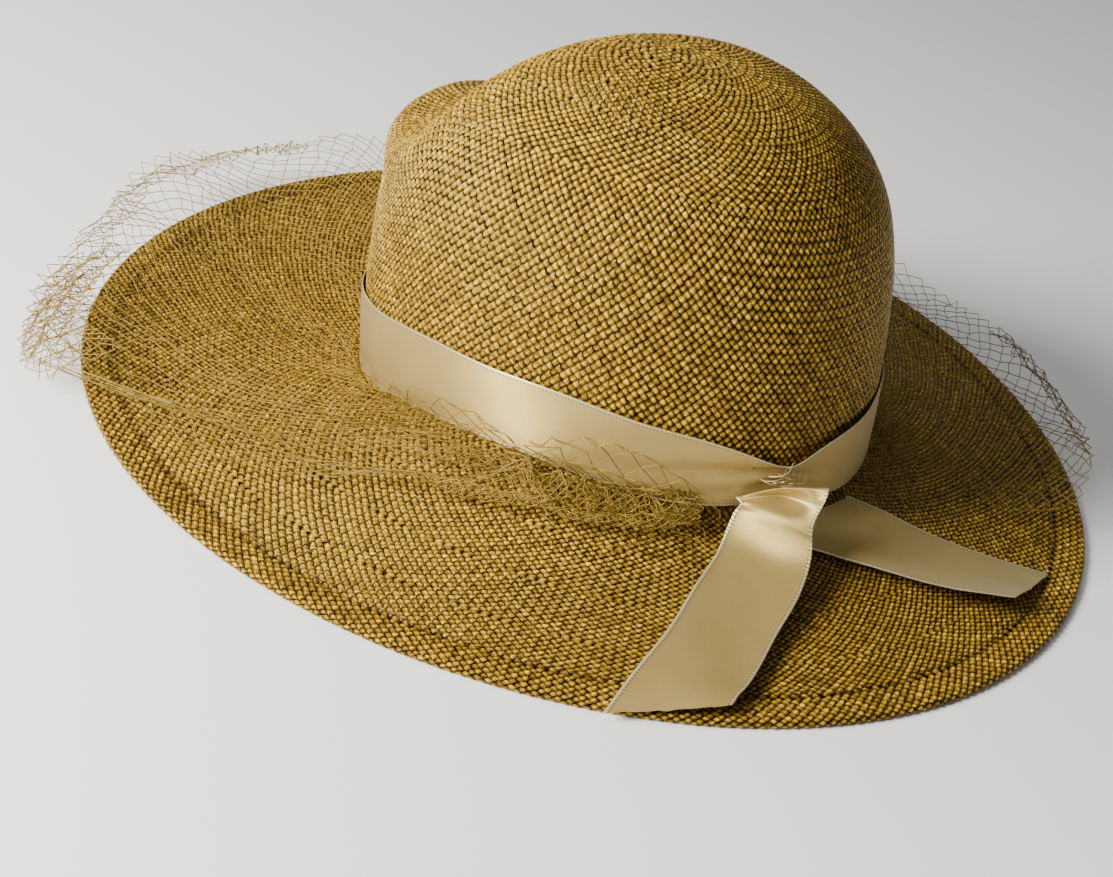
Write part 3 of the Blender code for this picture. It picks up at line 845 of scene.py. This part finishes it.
# %% Threads as tubes
def tube_points(lines, radius):
    """Three-sided tubes round lines of equal numbers of points: lines is (line, place, 3)."""
    ahead = np.gradient(lines, axis=1)
    ahead = ahead / np.maximum(np.linalg.norm(ahead, axis=2, keepdims=True), 1e-9)
    guide = np.where(np.abs(ahead[..., 2:]) > 0.9, (1.0, 0.0, 0.0), (0.0, 0.0, 1.0))
    aside = np.cross(ahead, guide)
    aside = aside / np.maximum(np.linalg.norm(aside, axis=2, keepdims=True), 1e-9)
    above = np.cross(aside, ahead)
    angles = np.array((math.pi / 2, math.pi * 7 / 6, math.pi * 11 / 6))[:, None]
    ring = aside[:, :, None] * np.cos(angles) + above[:, :, None] * np.sin(angles)
    return lines[:, :, None] + ring * radius


def tubes(name, lines, radius):
    """One mesh of many open tubes, with their own length and order as UVs."""
    points = tube_points(lines, radius)
    count, places, sides = points.shape[:3]
    quads = grid_faces(places, sides, closed=True)
    faces = (np.arange(count)[:, None, None] * places * sides + quads[None]).reshape(-1, 4)
    length = np.broadcast_to(np.linspace(0, 1, places)[None, :, None], points.shape[:3])
    order = np.broadcast_to(np.arange(count)[:, None, None], points.shape[:3])
    uv = np.stack([length * 5, order * 1.0], -1).reshape(-1, 2)
    return mesh_piece(name, points.reshape(-1, 3), faces, uv)


# %% [markdown]
# Where the band is drawn together it is tacked by hand with a shiny thread: a few long stitches cross
# over the gather, one lying on the other, and a row of short ones holds the fold to its left.

# %% The tacking stitches
# Turn from the gather (degrees) and height above the foot (mm) where each long stitch starts and ends
TACKS = (
    (-4.2, 19.0, 1.2, 23.5), (-3.0, 16.5, 2.2, 22.6), (-5.4, 17.6, -0.4, 22.0), (-1.2, 15.4, 3.2, 21.0),
    (-2.4, 20.6, 2.6, 19.2), (-6.4, 18.8, -2.4, 18.2), (0.4, 17.0, 4.6, 19.6),
)
tack_part = np.linspace(0, 1, 9)[None, :]
tack_rows = np.array(TACKS)
tack_turn = tack_rows[:, :1] + (tack_rows[:, 2:3] - tack_rows[:, :1]) * tack_part
tack_height = (tack_rows[:, 1:2] + (tack_rows[:, 3:] - tack_rows[:, 1:2]) * tack_part) * MM
tack_off = (3.6 + 2.6 * np.sin(math.pi * tack_part) + 0.25 * np.arange(len(TACKS))[:, None]) * MM
long_tacks = wall_point(GATHER_TURN + np.radians(tack_turn), tack_height, tack_off)
row_apart = np.arange(3, 34, 2.7)[:, None] * MM + np.linspace(-0.6, 0.6, 9)[None, :] * MM
row_low, row_high, _ = band_edges(row_apart)
row_height = row_low + (row_high - row_low) * (valley_left(row_apart) + 1) / 2
row_turn = GATHER_TURN - row_apart / (CROWN_WIDTH / 2)
row_tacks = wall_point(row_turn, row_height, 2.1 * MM + 0 * row_apart)
tacking = tubes("tacking_stitches", np.concatenate([long_tacks, row_tacks]), 0.22 * MM)
print("tacking stitches:", len(long_tacks), "long,", len(row_tacks), "short")


# %% [markdown]
# The ribbon is polyester satin: long threads lie side by side on its face, so its shine is stretched to
# one side, which is what anisotropy with a tangent from the UV map gives. The shine takes on the colour
# of the dyed fibres, so the shader is partly metallic. The threads themselves are too fine to show; a
# coarser grain, about 0.7 mm along and 0.4 mm across, stands for them, over a soft cloud of lighter and
# darker cloth about 17 mm wide. Along each side runs the woven edge: a paler strip about 1 mm wide, with
# a line of darker holes every 1.1 mm at its inner side. All sizes here are in mm, as the UV map is.

# %% Satin material
EDGE_FROM_MIDDLE = (13.1, 13.4)
HOLES_FROM_MIDDLE = 13.30
HOLES_HALF_WIDTH = 0.30
HOLE_SPACING = 1.1


def make_satin():
    """Satin with its grain, its cloudiness and its woven edges."""
    material, tree, shader = new_material("champagne_polyester_satin")
    uv = add_node(tree, "ShaderNodeUVMap")
    axes = add_node(tree, "ShaderNodeSeparateXYZ", links={"Vector": uv.outputs["UV"]})
    middle = add_node(tree, "ShaderNodeMath", {"operation": "SUBTRACT"}, {1: RIBBON_WIDTH / MM / 2},
                      {0: axes.outputs["Y"]})
    middle = add_node(tree, "ShaderNodeMath", {"operation": "ABSOLUTE"}, links={0: middle.outputs["Value"]})
    edge = add_node(tree, "ShaderNodeMapRange", None,
                    {"From Min": EDGE_FROM_MIDDLE[0], "From Max": EDGE_FROM_MIDDLE[1]},
                    {"Value": middle.outputs["Value"]})
    turns = add_node(tree, "ShaderNodeMath", {"operation": "MULTIPLY"}, {1: 2 * math.pi / HOLE_SPACING},
                     {0: axes.outputs["X"]})
    dots = add_node(tree, "ShaderNodeMath", {"operation": "SINE"}, links={0: turns.outputs["Value"]})
    dots = add_node(tree, "ShaderNodeMapRange", None,
                    {"From Min": -0.2, "From Max": 0.5, "To Min": 0.42, "To Max": 1.0},
                    {"Value": dots.outputs["Value"]})
    inner = add_node(tree, "ShaderNodeMath", {"operation": "COMPARE"},
                     {1: HOLES_FROM_MIDDLE, 2: HOLES_HALF_WIDTH}, {0: middle.outputs["Value"]})
    grain_place = add_node(tree, "ShaderNodeMapping", None, {"Scale": (1.5, 2.6, 1.0)},
                           {"Vector": uv.outputs["UV"]})
    grain = add_node(tree, "ShaderNodeTexNoise", {"noise_dimensions": "2D"},
                     {"Scale": 1.0, "Detail": 2.0}, {"Vector": grain_place.outputs["Vector"]})
    cloud = add_node(tree, "ShaderNodeTexNoise", {"noise_dimensions": "2D"},
                     {"Scale": 0.06, "Detail": 2.0}, {"Vector": uv.outputs["UV"]})
    speckle = add_node(tree, "ShaderNodeMapRange", None,
                       {"From Min": 0.3, "From Max": 0.7, "To Min": -0.3, "To Max": 0.3},
                       {"Value": grain.outputs["Fac"]})
    shade = add_node(tree, "ShaderNodeMath", {"operation": "ADD"},
                     links={0: cloud.outputs["Fac"], 1: speckle.outputs["Result"]})
    # A colour mix keeps its two colours in inputs 6 and 7, and its result in output 2
    body = add_node(tree, "ShaderNodeMix", {"data_type": "RGBA"}, links={"Factor": shade.outputs["Value"]})
    body.inputs[6].default_value = linear("#C3A55B")
    body.inputs[7].default_value = linear("#D1B773")
    edged = add_node(tree, "ShaderNodeMix", {"data_type": "RGBA"}, links={"Factor": edge.outputs["Result"]})
    tree.links.new(body.outputs[2], edged.inputs[6])
    edged.inputs[7].default_value = linear("#E2D0A0")
    holes = add_node(tree, "ShaderNodeMix", {"data_type": "RGBA", "blend_type": "MULTIPLY"},
                     links={"Factor": inner.outputs["Value"]})
    tree.links.new(edged.outputs[2], holes.inputs[6])
    tree.links.new(dots.outputs["Result"], holes.inputs[7])
    tree.links.new(holes.outputs[2], shader.inputs["Base Color"])
    rough = add_node(tree, "ShaderNodeMapRange", None, {"To Min": 0.42, "To Max": 0.52},
                     {"Value": grain.outputs["Fac"]})
    tree.links.new(rough.outputs["Result"], shader.inputs["Roughness"])
    shader.inputs["Metallic"].default_value = 0.62
    shader.inputs["Anisotropic"].default_value = 0.92
    shader.inputs["Anisotropic Rotation"].default_value = 0.25
    shader.inputs["Sheen Weight"].default_value = 0.10
    tangent = add_node(tree, "ShaderNodeTangent", {"direction_type": "UV_MAP", "uv_map": "UVMap"})
    tree.links.new(tangent.outputs["Tangent"], shader.inputs["Tangent"])
    bump = add_node(tree, "ShaderNodeBump", None, {"Strength": 0.6, "Distance": 0.06 * MM},
                    {"Height": grain.outputs["Fac"]})
    tree.links.new(bump.outputs["Normal"], shader.inputs["Normal"])
    return material


satin = make_satin()
tacking.data.materials.append(satin)
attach(tacking, "root")
for piece, node in ((band, "ribbon_band"), (front_end, "ribbon_end_front"), (side_end, "ribbon_end_side")):
    piece.data.materials.append(satin)
    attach(piece, "root")
    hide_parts(node)
print("satin on:", ", ".join(piece.name for piece in (band, front_end, side_end, tacking)))


# %% [markdown]
# ## The veil
#
# The veil is a strip of knotted net with diamonds about 8 mm long, made of a fine golden thread. One
# edge is gathered in at the foot of the crown and the rest is spread over the brim and beyond its
# edge. The knots are placed first, on the net's own rows and columns; each thread then runs from knot
# to knot and, where the net is bunched, bows out by the length that it has to spare, as slack thread
# does. A surface with holes in its material would be quicker, but it has no threads to see from the
# side.

# %% Sizes of the net
# Turn (degrees), reach as a share of the brim to the hem, lift there as a share of VEIL_LIFT
VEIL_EDGE = (
    (36, 1.02, 0.30), (46, 1.18, 0.40), (58, 1.24, 0.50), (85, 1.18, 0.50), (120, 1.12, 0.50),
    (150, 1.12, 0.50), (180, 1.12, 0.50), (204, 1.32, 0.50), (216, 1.32, 0.65), (229, 1.17, 0.95),
    (242, 1.28, 0.60), (256, 1.36, 0.50), (264, 1.14, 0.45), (272, 0.94, 0.40), (281, 0.68, 0.35),
    (291, 0.46, 0.30), (305, 0.33, 0.25), (318, 0.27, 0.22), (326, 0.21, 0.18), (334, 0.06, 0.12),
)
VEIL_LIFT = 20 * MM
# Radius of a thread, drawn a little thicker than a real one, so that it shows
THREAD = 0.19 * MM
NET_COLUMNS = 126
NET_ROWS = 29
THREAD_LENGTH = 5.6 * MM
# The most that a thread between two knots stands out sideways
MOST_BOW = 0.4 * MM
VEIL_START = 3.5 * MM / BRIM_WIDTH
FARTHEST = 1.40
LOWEST = 0.9 * MM
ROLL_TURNS = 1.7
ROLL_REACH = 9.5 * MM
ROLL_HEIGHT = 8 * MM


def smooth_noise(turn, out, seed, scale):
    """A slow random value for each knot, the same each time, as a sum of a few waves."""
    rng = np.random.default_rng(seed)
    total = 0 * turn
    for _ in range(7):
        across, away = rng.uniform(2, 14) * scale, rng.uniform(0, 9) * scale
        phase = rng.uniform(0, 6.28)
        total = total + np.sin(across * turn + away * out + phase) * rng.uniform(0.5, 1)
    return total / 3


def veil_point(turn, out, rise):
    """A point over the brim, or beyond it in its plane, at a height above the straw."""
    flat = brim_point(turn, np.minimum(out, 1.0))
    foot = crown_point(turn, np.zeros_like(turn))
    plan = foot + (rim_point(turn, HEM_WIDTH) - foot) * out[..., None]
    return np.stack([plan[..., 0], plan[..., 1], flat[..., 2] + rise], -1) + HAT_PLACE


# %% [markdown]
# The net has 29 rows of knots from the crown's foot outwards and 126 columns from one side of the
# gather round to the other. Every second row lies half a column further on, which makes diamonds. Slow
# noise spreads and crowds the columns.
# Where the net reaches less far than it could, the spare cloth rolls over on itself, as bunched net
# does: those knots are moved round a circle from row to row, as far as `loose` says.

# %% Where the knots of the net lie
veil_edge = np.array(VEIL_EDGE)
row, column = np.meshgrid(np.arange(NET_ROWS), np.arange(NET_COLUMNS + 1), indexing="ij")
first, last = veil_edge[0, 0], veil_edge[-1, 0]
degrees = first + (last - first) * (column + 0.5 * (row % 2)) / NET_COLUMNS
down_net = row / (NET_ROWS - 1)
net_rng = np.random.default_rng(5)
crowding = 2.2 * smooth_noise(np.radians(degrees), down_net, 3, 1.6) * (1 - 0.4 * down_net)
degrees = degrees + crowding + net_rng.normal(0, 0.25, row.shape)
degrees = np.clip(degrees, first, last)
turn = np.radians(degrees)
reach = np.interp(degrees, veil_edge[:, 0], veil_edge[:, 1])
lift = np.interp(degrees, veil_edge[:, 0], veil_edge[:, 2])
roll = 2 * math.pi * ROLL_TURNS * down_net + 1.6 * smooth_noise(turn, down_net, 29, 1.4)
loose = np.clip(1.12 - reach, 0, 1) * np.sin(math.pi * down_net) ** 0.6
out = VEIL_START + (reach - VEIL_START) * down_net ** 0.95
out = out + ROLL_REACH / BRIM_WIDTH * loose * np.sin(roll)
out = out + net_rng.normal(0, 0.004, row.shape) + 0.02 * smooth_noise(turn, down_net, 8, 2.0) * down_net
out = np.clip(out, VEIL_START, FARTHEST)
ruffle = 1.0 + 0.55 * smooth_noise(turn, down_net, 11, 1.3)
rise = 1.0 * MM + VEIL_LIFT * lift * down_net ** 1.5 * ruffle
rise = rise + 1.5 * MM * (1 + smooth_noise(turn, down_net, 17, 2.5)) * down_net
heave = 1 + 0.4 * smooth_noise(turn, down_net, 21, 3.0)
rise = rise + ROLL_HEIGHT * loose * (1 - np.cos(roll)) / 2 * heave
rise = rise + net_rng.normal(0, 0.25 * MM, row.shape)
knots = veil_point(turn, out, np.maximum(rise, LOWEST))
print("knots:", knots.shape[0] * knots.shape[1])


# %% [markdown]
# A thread joins each knot to the two nearest in the next row. Where the knots lie closer together than
# the thread is long, it bows out to a side, by a direction that changes slowly from place to place, so
# that neighbours bow alike. A cap on the bow keeps the bunched net crisp: without it, it looks like wool.

# %% Threads from knot to knot
def net_lines(nodes, thread_length, bow_share, seed):
    """Threads between the knots of a net whose odd rows lie half a column further on."""
    bow_rng = np.random.default_rng(seed)
    starts, ends = [], []
    for level in range(len(nodes) - 1):
        here, there = nodes[level], nodes[level + 1]
        starts += (here[:-1], here[1:]) if level % 2 == 0 else (here[:-1], here[:-1])
        ends += (there[:-1], there[:-1]) if level % 2 == 0 else (there[:-1], there[1:])
    starts, ends = np.concatenate(starts), np.concatenate(ends)
    gap = np.linalg.norm(ends - starts, axis=1)
    spare = np.sqrt(np.clip(thread_length ** 2 - gap ** 2, 0, None))
    spare = np.minimum(spare * bow_share, MOST_BOW)
    middle = (starts + ends) / 2 / (14 * MM)
    bow = np.sin(middle[:, (1, 2, 0)] * 2.1 + (0.5, 2.0, 4.0)) + bow_rng.normal(0, 0.35, starts.shape)
    bow = bow / np.linalg.norm(bow, axis=1, keepdims=True) * spare[:, None]
    part = np.linspace(0, 1, 4)[None, :, None]
    lines = starts[:, None] + (ends - starts)[:, None] * part
    lines = lines + bow[:, None] * 4 * part * (1 - part)
    lines[..., 2] = np.maximum(lines[..., 2], THREAD)
    return lines, gap


lines, gap = net_lines(knots, THREAD_LENGTH, 0.30, 7)
veil = tubes("veil_threads", lines, THREAD)
print("veil:", len(lines), "threads,", 2 * len(veil.data.polygons), "triangles")
print("mean gap between knots %.1f mm" % (gap.mean() / MM))


# %% [markdown]
# The gathered edge doesn't lie flat: loops of net stand up against the ribbon, and at its outer edge
# the net is turned back over itself. Both are small patches of the same net, each with its own grid of
# knots, placed where the photograph shows them.

# %% Loops of the net that stand up over the ribbon's lower edge
def patch_grid(first_turn, last_turn, columns, levels):
    """Turns of the knots of a patch, and how far down the patch each of them lies."""
    level, column = np.meshgrid(np.arange(levels), np.arange(columns + 1), indexing="ij")
    at = np.radians(first_turn + (last_turn - first_turn) * (column + 0.5 * (level % 2)) / columns)
    return at, level / (levels - 1)


# First and last turn, columns, rows, height above the crown's foot that the loops reach, seed
LOOP_PATCHES = (
    (-60, -28, 6, 6, 24.0, 41),
    (-66, -27, 8, 5, 13.0, 42),
    (-97, -61, 6, 5, 17.0, 43),
    (-106, -58, 10, 5, 10.0, 44),
    (-124, -103, 3, 4, 17.0, 45),
)
loop_lines = []
for first_turn, last_turn, columns, levels, top, seed in LOOP_PATCHES:
    loop_rng = np.random.default_rng(seed)
    at, part = patch_grid(first_turn, last_turn, columns, levels)
    at = at + loop_rng.normal(0, 0.010, at.shape)
    bump = 0.55 + 0.45 * np.sin(np.linspace(0, math.pi, columns + 1))[None, :]
    height = 2.0 + (top - 2.0) * np.sin(part * math.pi * 0.62) * bump
    height = MM * (height + loop_rng.normal(0, 0.35, at.shape))
    stand = 2.6 + 4.5 * np.sin(part * math.pi) + 6.5 * part ** 2
    stand = MM * (stand + loop_rng.normal(0, 0.4, at.shape))
    nodes = wall_point(at, np.maximum(height, 1.0 * MM), np.maximum(stand, 1.8 * MM))
    loop_lines.append(net_lines(nodes, 6.6 * MM, 0.20, seed)[0])
loops = tubes("veil_loops", np.concatenate(loop_lines), THREAD)
print("loops:", sum(len(lines) for lines in loop_lines), "threads")


# %% Net turned back over itself at its outer edge
# First and last turn, columns, rows, reach where the net turns back and where it ends,
# heights at those two places (mm), seed
FOLD_PATCHES = (
    (236, 260, 22, 11, 1.37, 1.12, 9.0, 22.0, 51),
    (240, 258, 16, 9, 1.36, 1.18, 5.0, 16.0, 55),
    (214, 240, 14, 6, 1.22, 1.05, 19.0, 27.0, 52),
    (190, 212, 13, 6, 1.28, 1.08, 11.0, 20.0, 53),
    (46, 74, 15, 6, 1.21, 1.05, 11.0, 19.0, 54),
)
fold_lines = []
for first_turn, last_turn, columns, levels, far, near, low, high, seed in FOLD_PATCHES:
    fold_rng = np.random.default_rng(seed)
    at, part = patch_grid(first_turn, last_turn, columns, levels)
    at = at + fold_rng.normal(0, 0.004, at.shape)
    edge = np.interp(np.degrees(at), veil_edge[:, 0], veil_edge[:, 1])
    away_out = np.minimum(edge, far) + (near - far) * part + fold_rng.normal(0, 0.006, at.shape)
    height = MM * (low + (high - low) * part ** 0.7 + 3.0 * smooth_noise(at, part, seed, 3.0))
    nodes = veil_point(at, away_out, np.maximum(height, 2 * MM))
    fold_lines.append(net_lines(nodes, THREAD_LENGTH, 0.25, seed)[0])
folds = tubes("veil_folded_back", np.concatenate(fold_lines), THREAD)
print("folds:", sum(len(lines) for lines in fold_lines), "threads")


# %% [markdown]
# Where the net was cut and gathered, loose thread ends stick out along the band's foot, on both sides
# of the gather. Each is a short thinner tube that starts near the foot, rises in an arch and wanders
# outwards. Most start close to the foot and a few further out, by a bell curve.

# %% Cut thread ends along the band's foot
ENDS_LEFT, ENDS_RIGHT = 150, 110
ENDS_COUNT = ENDS_LEFT + ENDS_RIGHT
END_RADIUS = 0.11 * MM
ends_rng = np.random.default_rng(61)
ends_left = ends_rng.uniform(-104, -27, ENDS_LEFT)
ends_right = ends_rng.uniform(24, 62, ENDS_RIGHT)
ends_turn = np.radians(np.concatenate([ends_left, ends_right]))[:, None]
ends_far = np.abs(ends_rng.normal(0, 1, ENDS_COUNT))[:, None]
ends_out = (2.5 + 7.5 * ends_far) * MM / BRIM_WIDTH
ends_rise = MM * (1.2 + ends_rng.uniform(0, 7, ENDS_COUNT)[:, None] * np.exp(-ends_far))
ends_swing = ends_rng.normal(0, 0.10, ENDS_COUNT)[:, None]
ends_reach = ends_rng.uniform(0.02, 0.17, ENDS_COUNT)[:, None]
ends_arch = ends_rng.normal(0.6, 0.8, (ENDS_COUNT, 1))
ends_part = np.linspace(0, 1, 6)[None, :]
ends_lines = veil_point(
    ends_turn + ends_swing * ends_part + 0.02 * np.sin(9 * ends_part + 6 * ends_far),
    ends_out + ends_reach * ends_part ** 1.2,
    np.maximum(0.8 * MM, ends_rise + MM * 3.0 * np.sin(math.pi * ends_part) * ends_arch),
)
thread_ends = tubes("veil_thread_ends", ends_lines, END_RADIUS)
extra_faces = sum(len(piece.data.polygons) for piece in (loops, folds, thread_ends))
print("loops, folds and ends:", 2 * extra_faces, "triangles")


# %% [markdown]
# The net is taken to be knotted from rayon, a smooth and fairly glossy thread, dyed golden brown. Its
# colour changes a little from thread to thread and along each one, so the noise reads the UV map of the
# tubes, whose first axis runs along a thread and whose second counts the threads.

# %% Net thread material
def make_thread():
    """Rayon thread between two golden browns."""
    material, tree, shader = new_material("golden_rayon_thread")
    uv = add_node(tree, "ShaderNodeUVMap")
    noise = add_node(tree, "ShaderNodeTexNoise", {"noise_dimensions": "2D"},
                     {"Scale": 0.9, "Detail": 1.0}, {"Vector": uv.outputs["UV"]})
    mix = add_node(tree, "ShaderNodeMix", {"data_type": "RGBA"}, links={"Factor": noise.outputs["Fac"]})
    mix.inputs[6].default_value = linear("#5A471B")
    mix.inputs[7].default_value = linear("#B0903F")
    tree.links.new(mix.outputs[2], shader.inputs["Base Color"])
    shader.inputs["Roughness"].default_value = 0.38
    shader.inputs["Specular IOR Level"].default_value = 0.6
    shader.inputs["Specular Tint"].default_value = linear("#FFE6A0")
    return material


thread_material = make_thread()
for piece in (veil, loops, folds, thread_ends):
    piece.data.materials.append(thread_material)
    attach(piece, "root")
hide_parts("veil_net")
print("net pieces:", ", ".join(piece.name for piece in (veil, loops, folds, thread_ends)))


# %% [markdown]
# ## Floor, light and camera
#
# The hat stands on plain pale paper: one large square, matt, so that nothing is mirrored in it.

# %% Floor
FLOOR_HALF = 6.0
floor_corners = [(-FLOOR_HALF, -FLOOR_HALF, 0), (FLOOR_HALF, -FLOOR_HALF, 0),
                 (FLOOR_HALF, FLOOR_HALF, 0), (-FLOOR_HALF, FLOOR_HALF, 0)]
floor_mesh = bpy.data.meshes.new("floor")
floor_mesh.from_pydata(floor_corners, [], [(0, 1, 2, 3)])
floor = bpy.data.objects.new("floor", floor_mesh)
bpy.context.scene.collection.objects.link(floor)
floor_material, _, floor_shader = new_material("pale_paper_floor")
floor_shader.inputs["Base Color"].default_value = linear("#FCFCFA")
floor_shader.inputs["Roughness"].default_value = 0.9
floor.data.materials.append(floor_material)
print("floor:", 2 * FLOOR_HALF, "m wide")


# %% [markdown]
# In the photograph one soft light stands to the left of the hat, as the camera sees it. It rounds the
# crown, shines on the ribbon and leaves the right side dark. A ball of light 0.4 m wide gives such a
# soft shadow edge. A wide weak light high up beyond the hat and a faint pale world keep the shaded side
# from going black.

# %% Light
CAMERA_FORWARD = Vector((-0.5439, -0.6543, -0.5255)).normalized()


def add_light(name, kind, place, size, power, colour=(1, 1, 1)):
    """A soft light: POINT is a ball of that radius, AREA a square that faces the hat."""
    light = bpy.data.lights.new(name, kind)
    if kind == "AREA":
        light.shape = "SQUARE"
        light.size = size
    else:
        light.shadow_soft_size = size
    light.energy = power
    light.color = colour
    holder = bpy.data.objects.new(name, light)
    holder.location = place
    holder.rotation_euler = (Vector((0, 0, 0.05)) - place).to_track_quat("-Z", "Y").to_euler()
    bpy.context.scene.collection.objects.link(holder)


across_view = CAMERA_FORWARD.cross(Vector((0, 0, 1))).normalized()
away = Vector((CAMERA_FORWARD.x, CAMERA_FORWARD.y, 0)).normalized()
add_light("window_light", "POINT", Vector((0.85, -0.09, 0.55)), 0.20, 104, colour=(1.0, 0.98, 0.93))
add_light("soft_fill", "AREA", -across_view * 0.5 + away * 0.7 + Vector((0, 0, 1.6)), 1.6, 9)
world = bpy.data.worlds.new("pale_room")
world.use_nodes = True
world.node_tree.nodes["Background"].inputs["Color"].default_value = (1, 1, 1, 1)
world.node_tree.nodes["Background"].inputs["Strength"].default_value = 0.15
bpy.context.scene.world = world


# %% [markdown]
# The camera looks down at the back of the hat from where a fit of the brim's and the band's ovals to
# the photograph placed it, with an assumed lens of 48.5 mm. It is rolled a little about its own axis.
# Its right and up directions and the way back from the view are the columns of its turning matrix.

# %% Camera
CAMERA_PLACE = Vector((0.3271, 0.3891, 0.2851))
CAMERA_ROLL = math.radians(10.74)
camera_data = bpy.data.cameras.new("camera")
camera_data.lens = 48.5
camera_data.sensor_width = 36.0
camera_data.clip_start = 0.01
camera = bpy.data.objects.new("camera", camera_data)
up_view = across_view.cross(CAMERA_FORWARD)
turned_right = math.cos(CAMERA_ROLL) * across_view + math.sin(CAMERA_ROLL) * up_view
turned_up = -math.sin(CAMERA_ROLL) * across_view + math.cos(CAMERA_ROLL) * up_view
axes = Matrix((turned_right, turned_up, -CAMERA_FORWARD)).transposed().to_4x4()
camera.matrix_world = Matrix.Translation(CAMERA_PLACE) @ axes
bpy.context.scene.collection.objects.link(camera)
bpy.context.scene.camera = camera
print("camera at", tuple(round(value, 3) for value in CAMERA_PLACE))
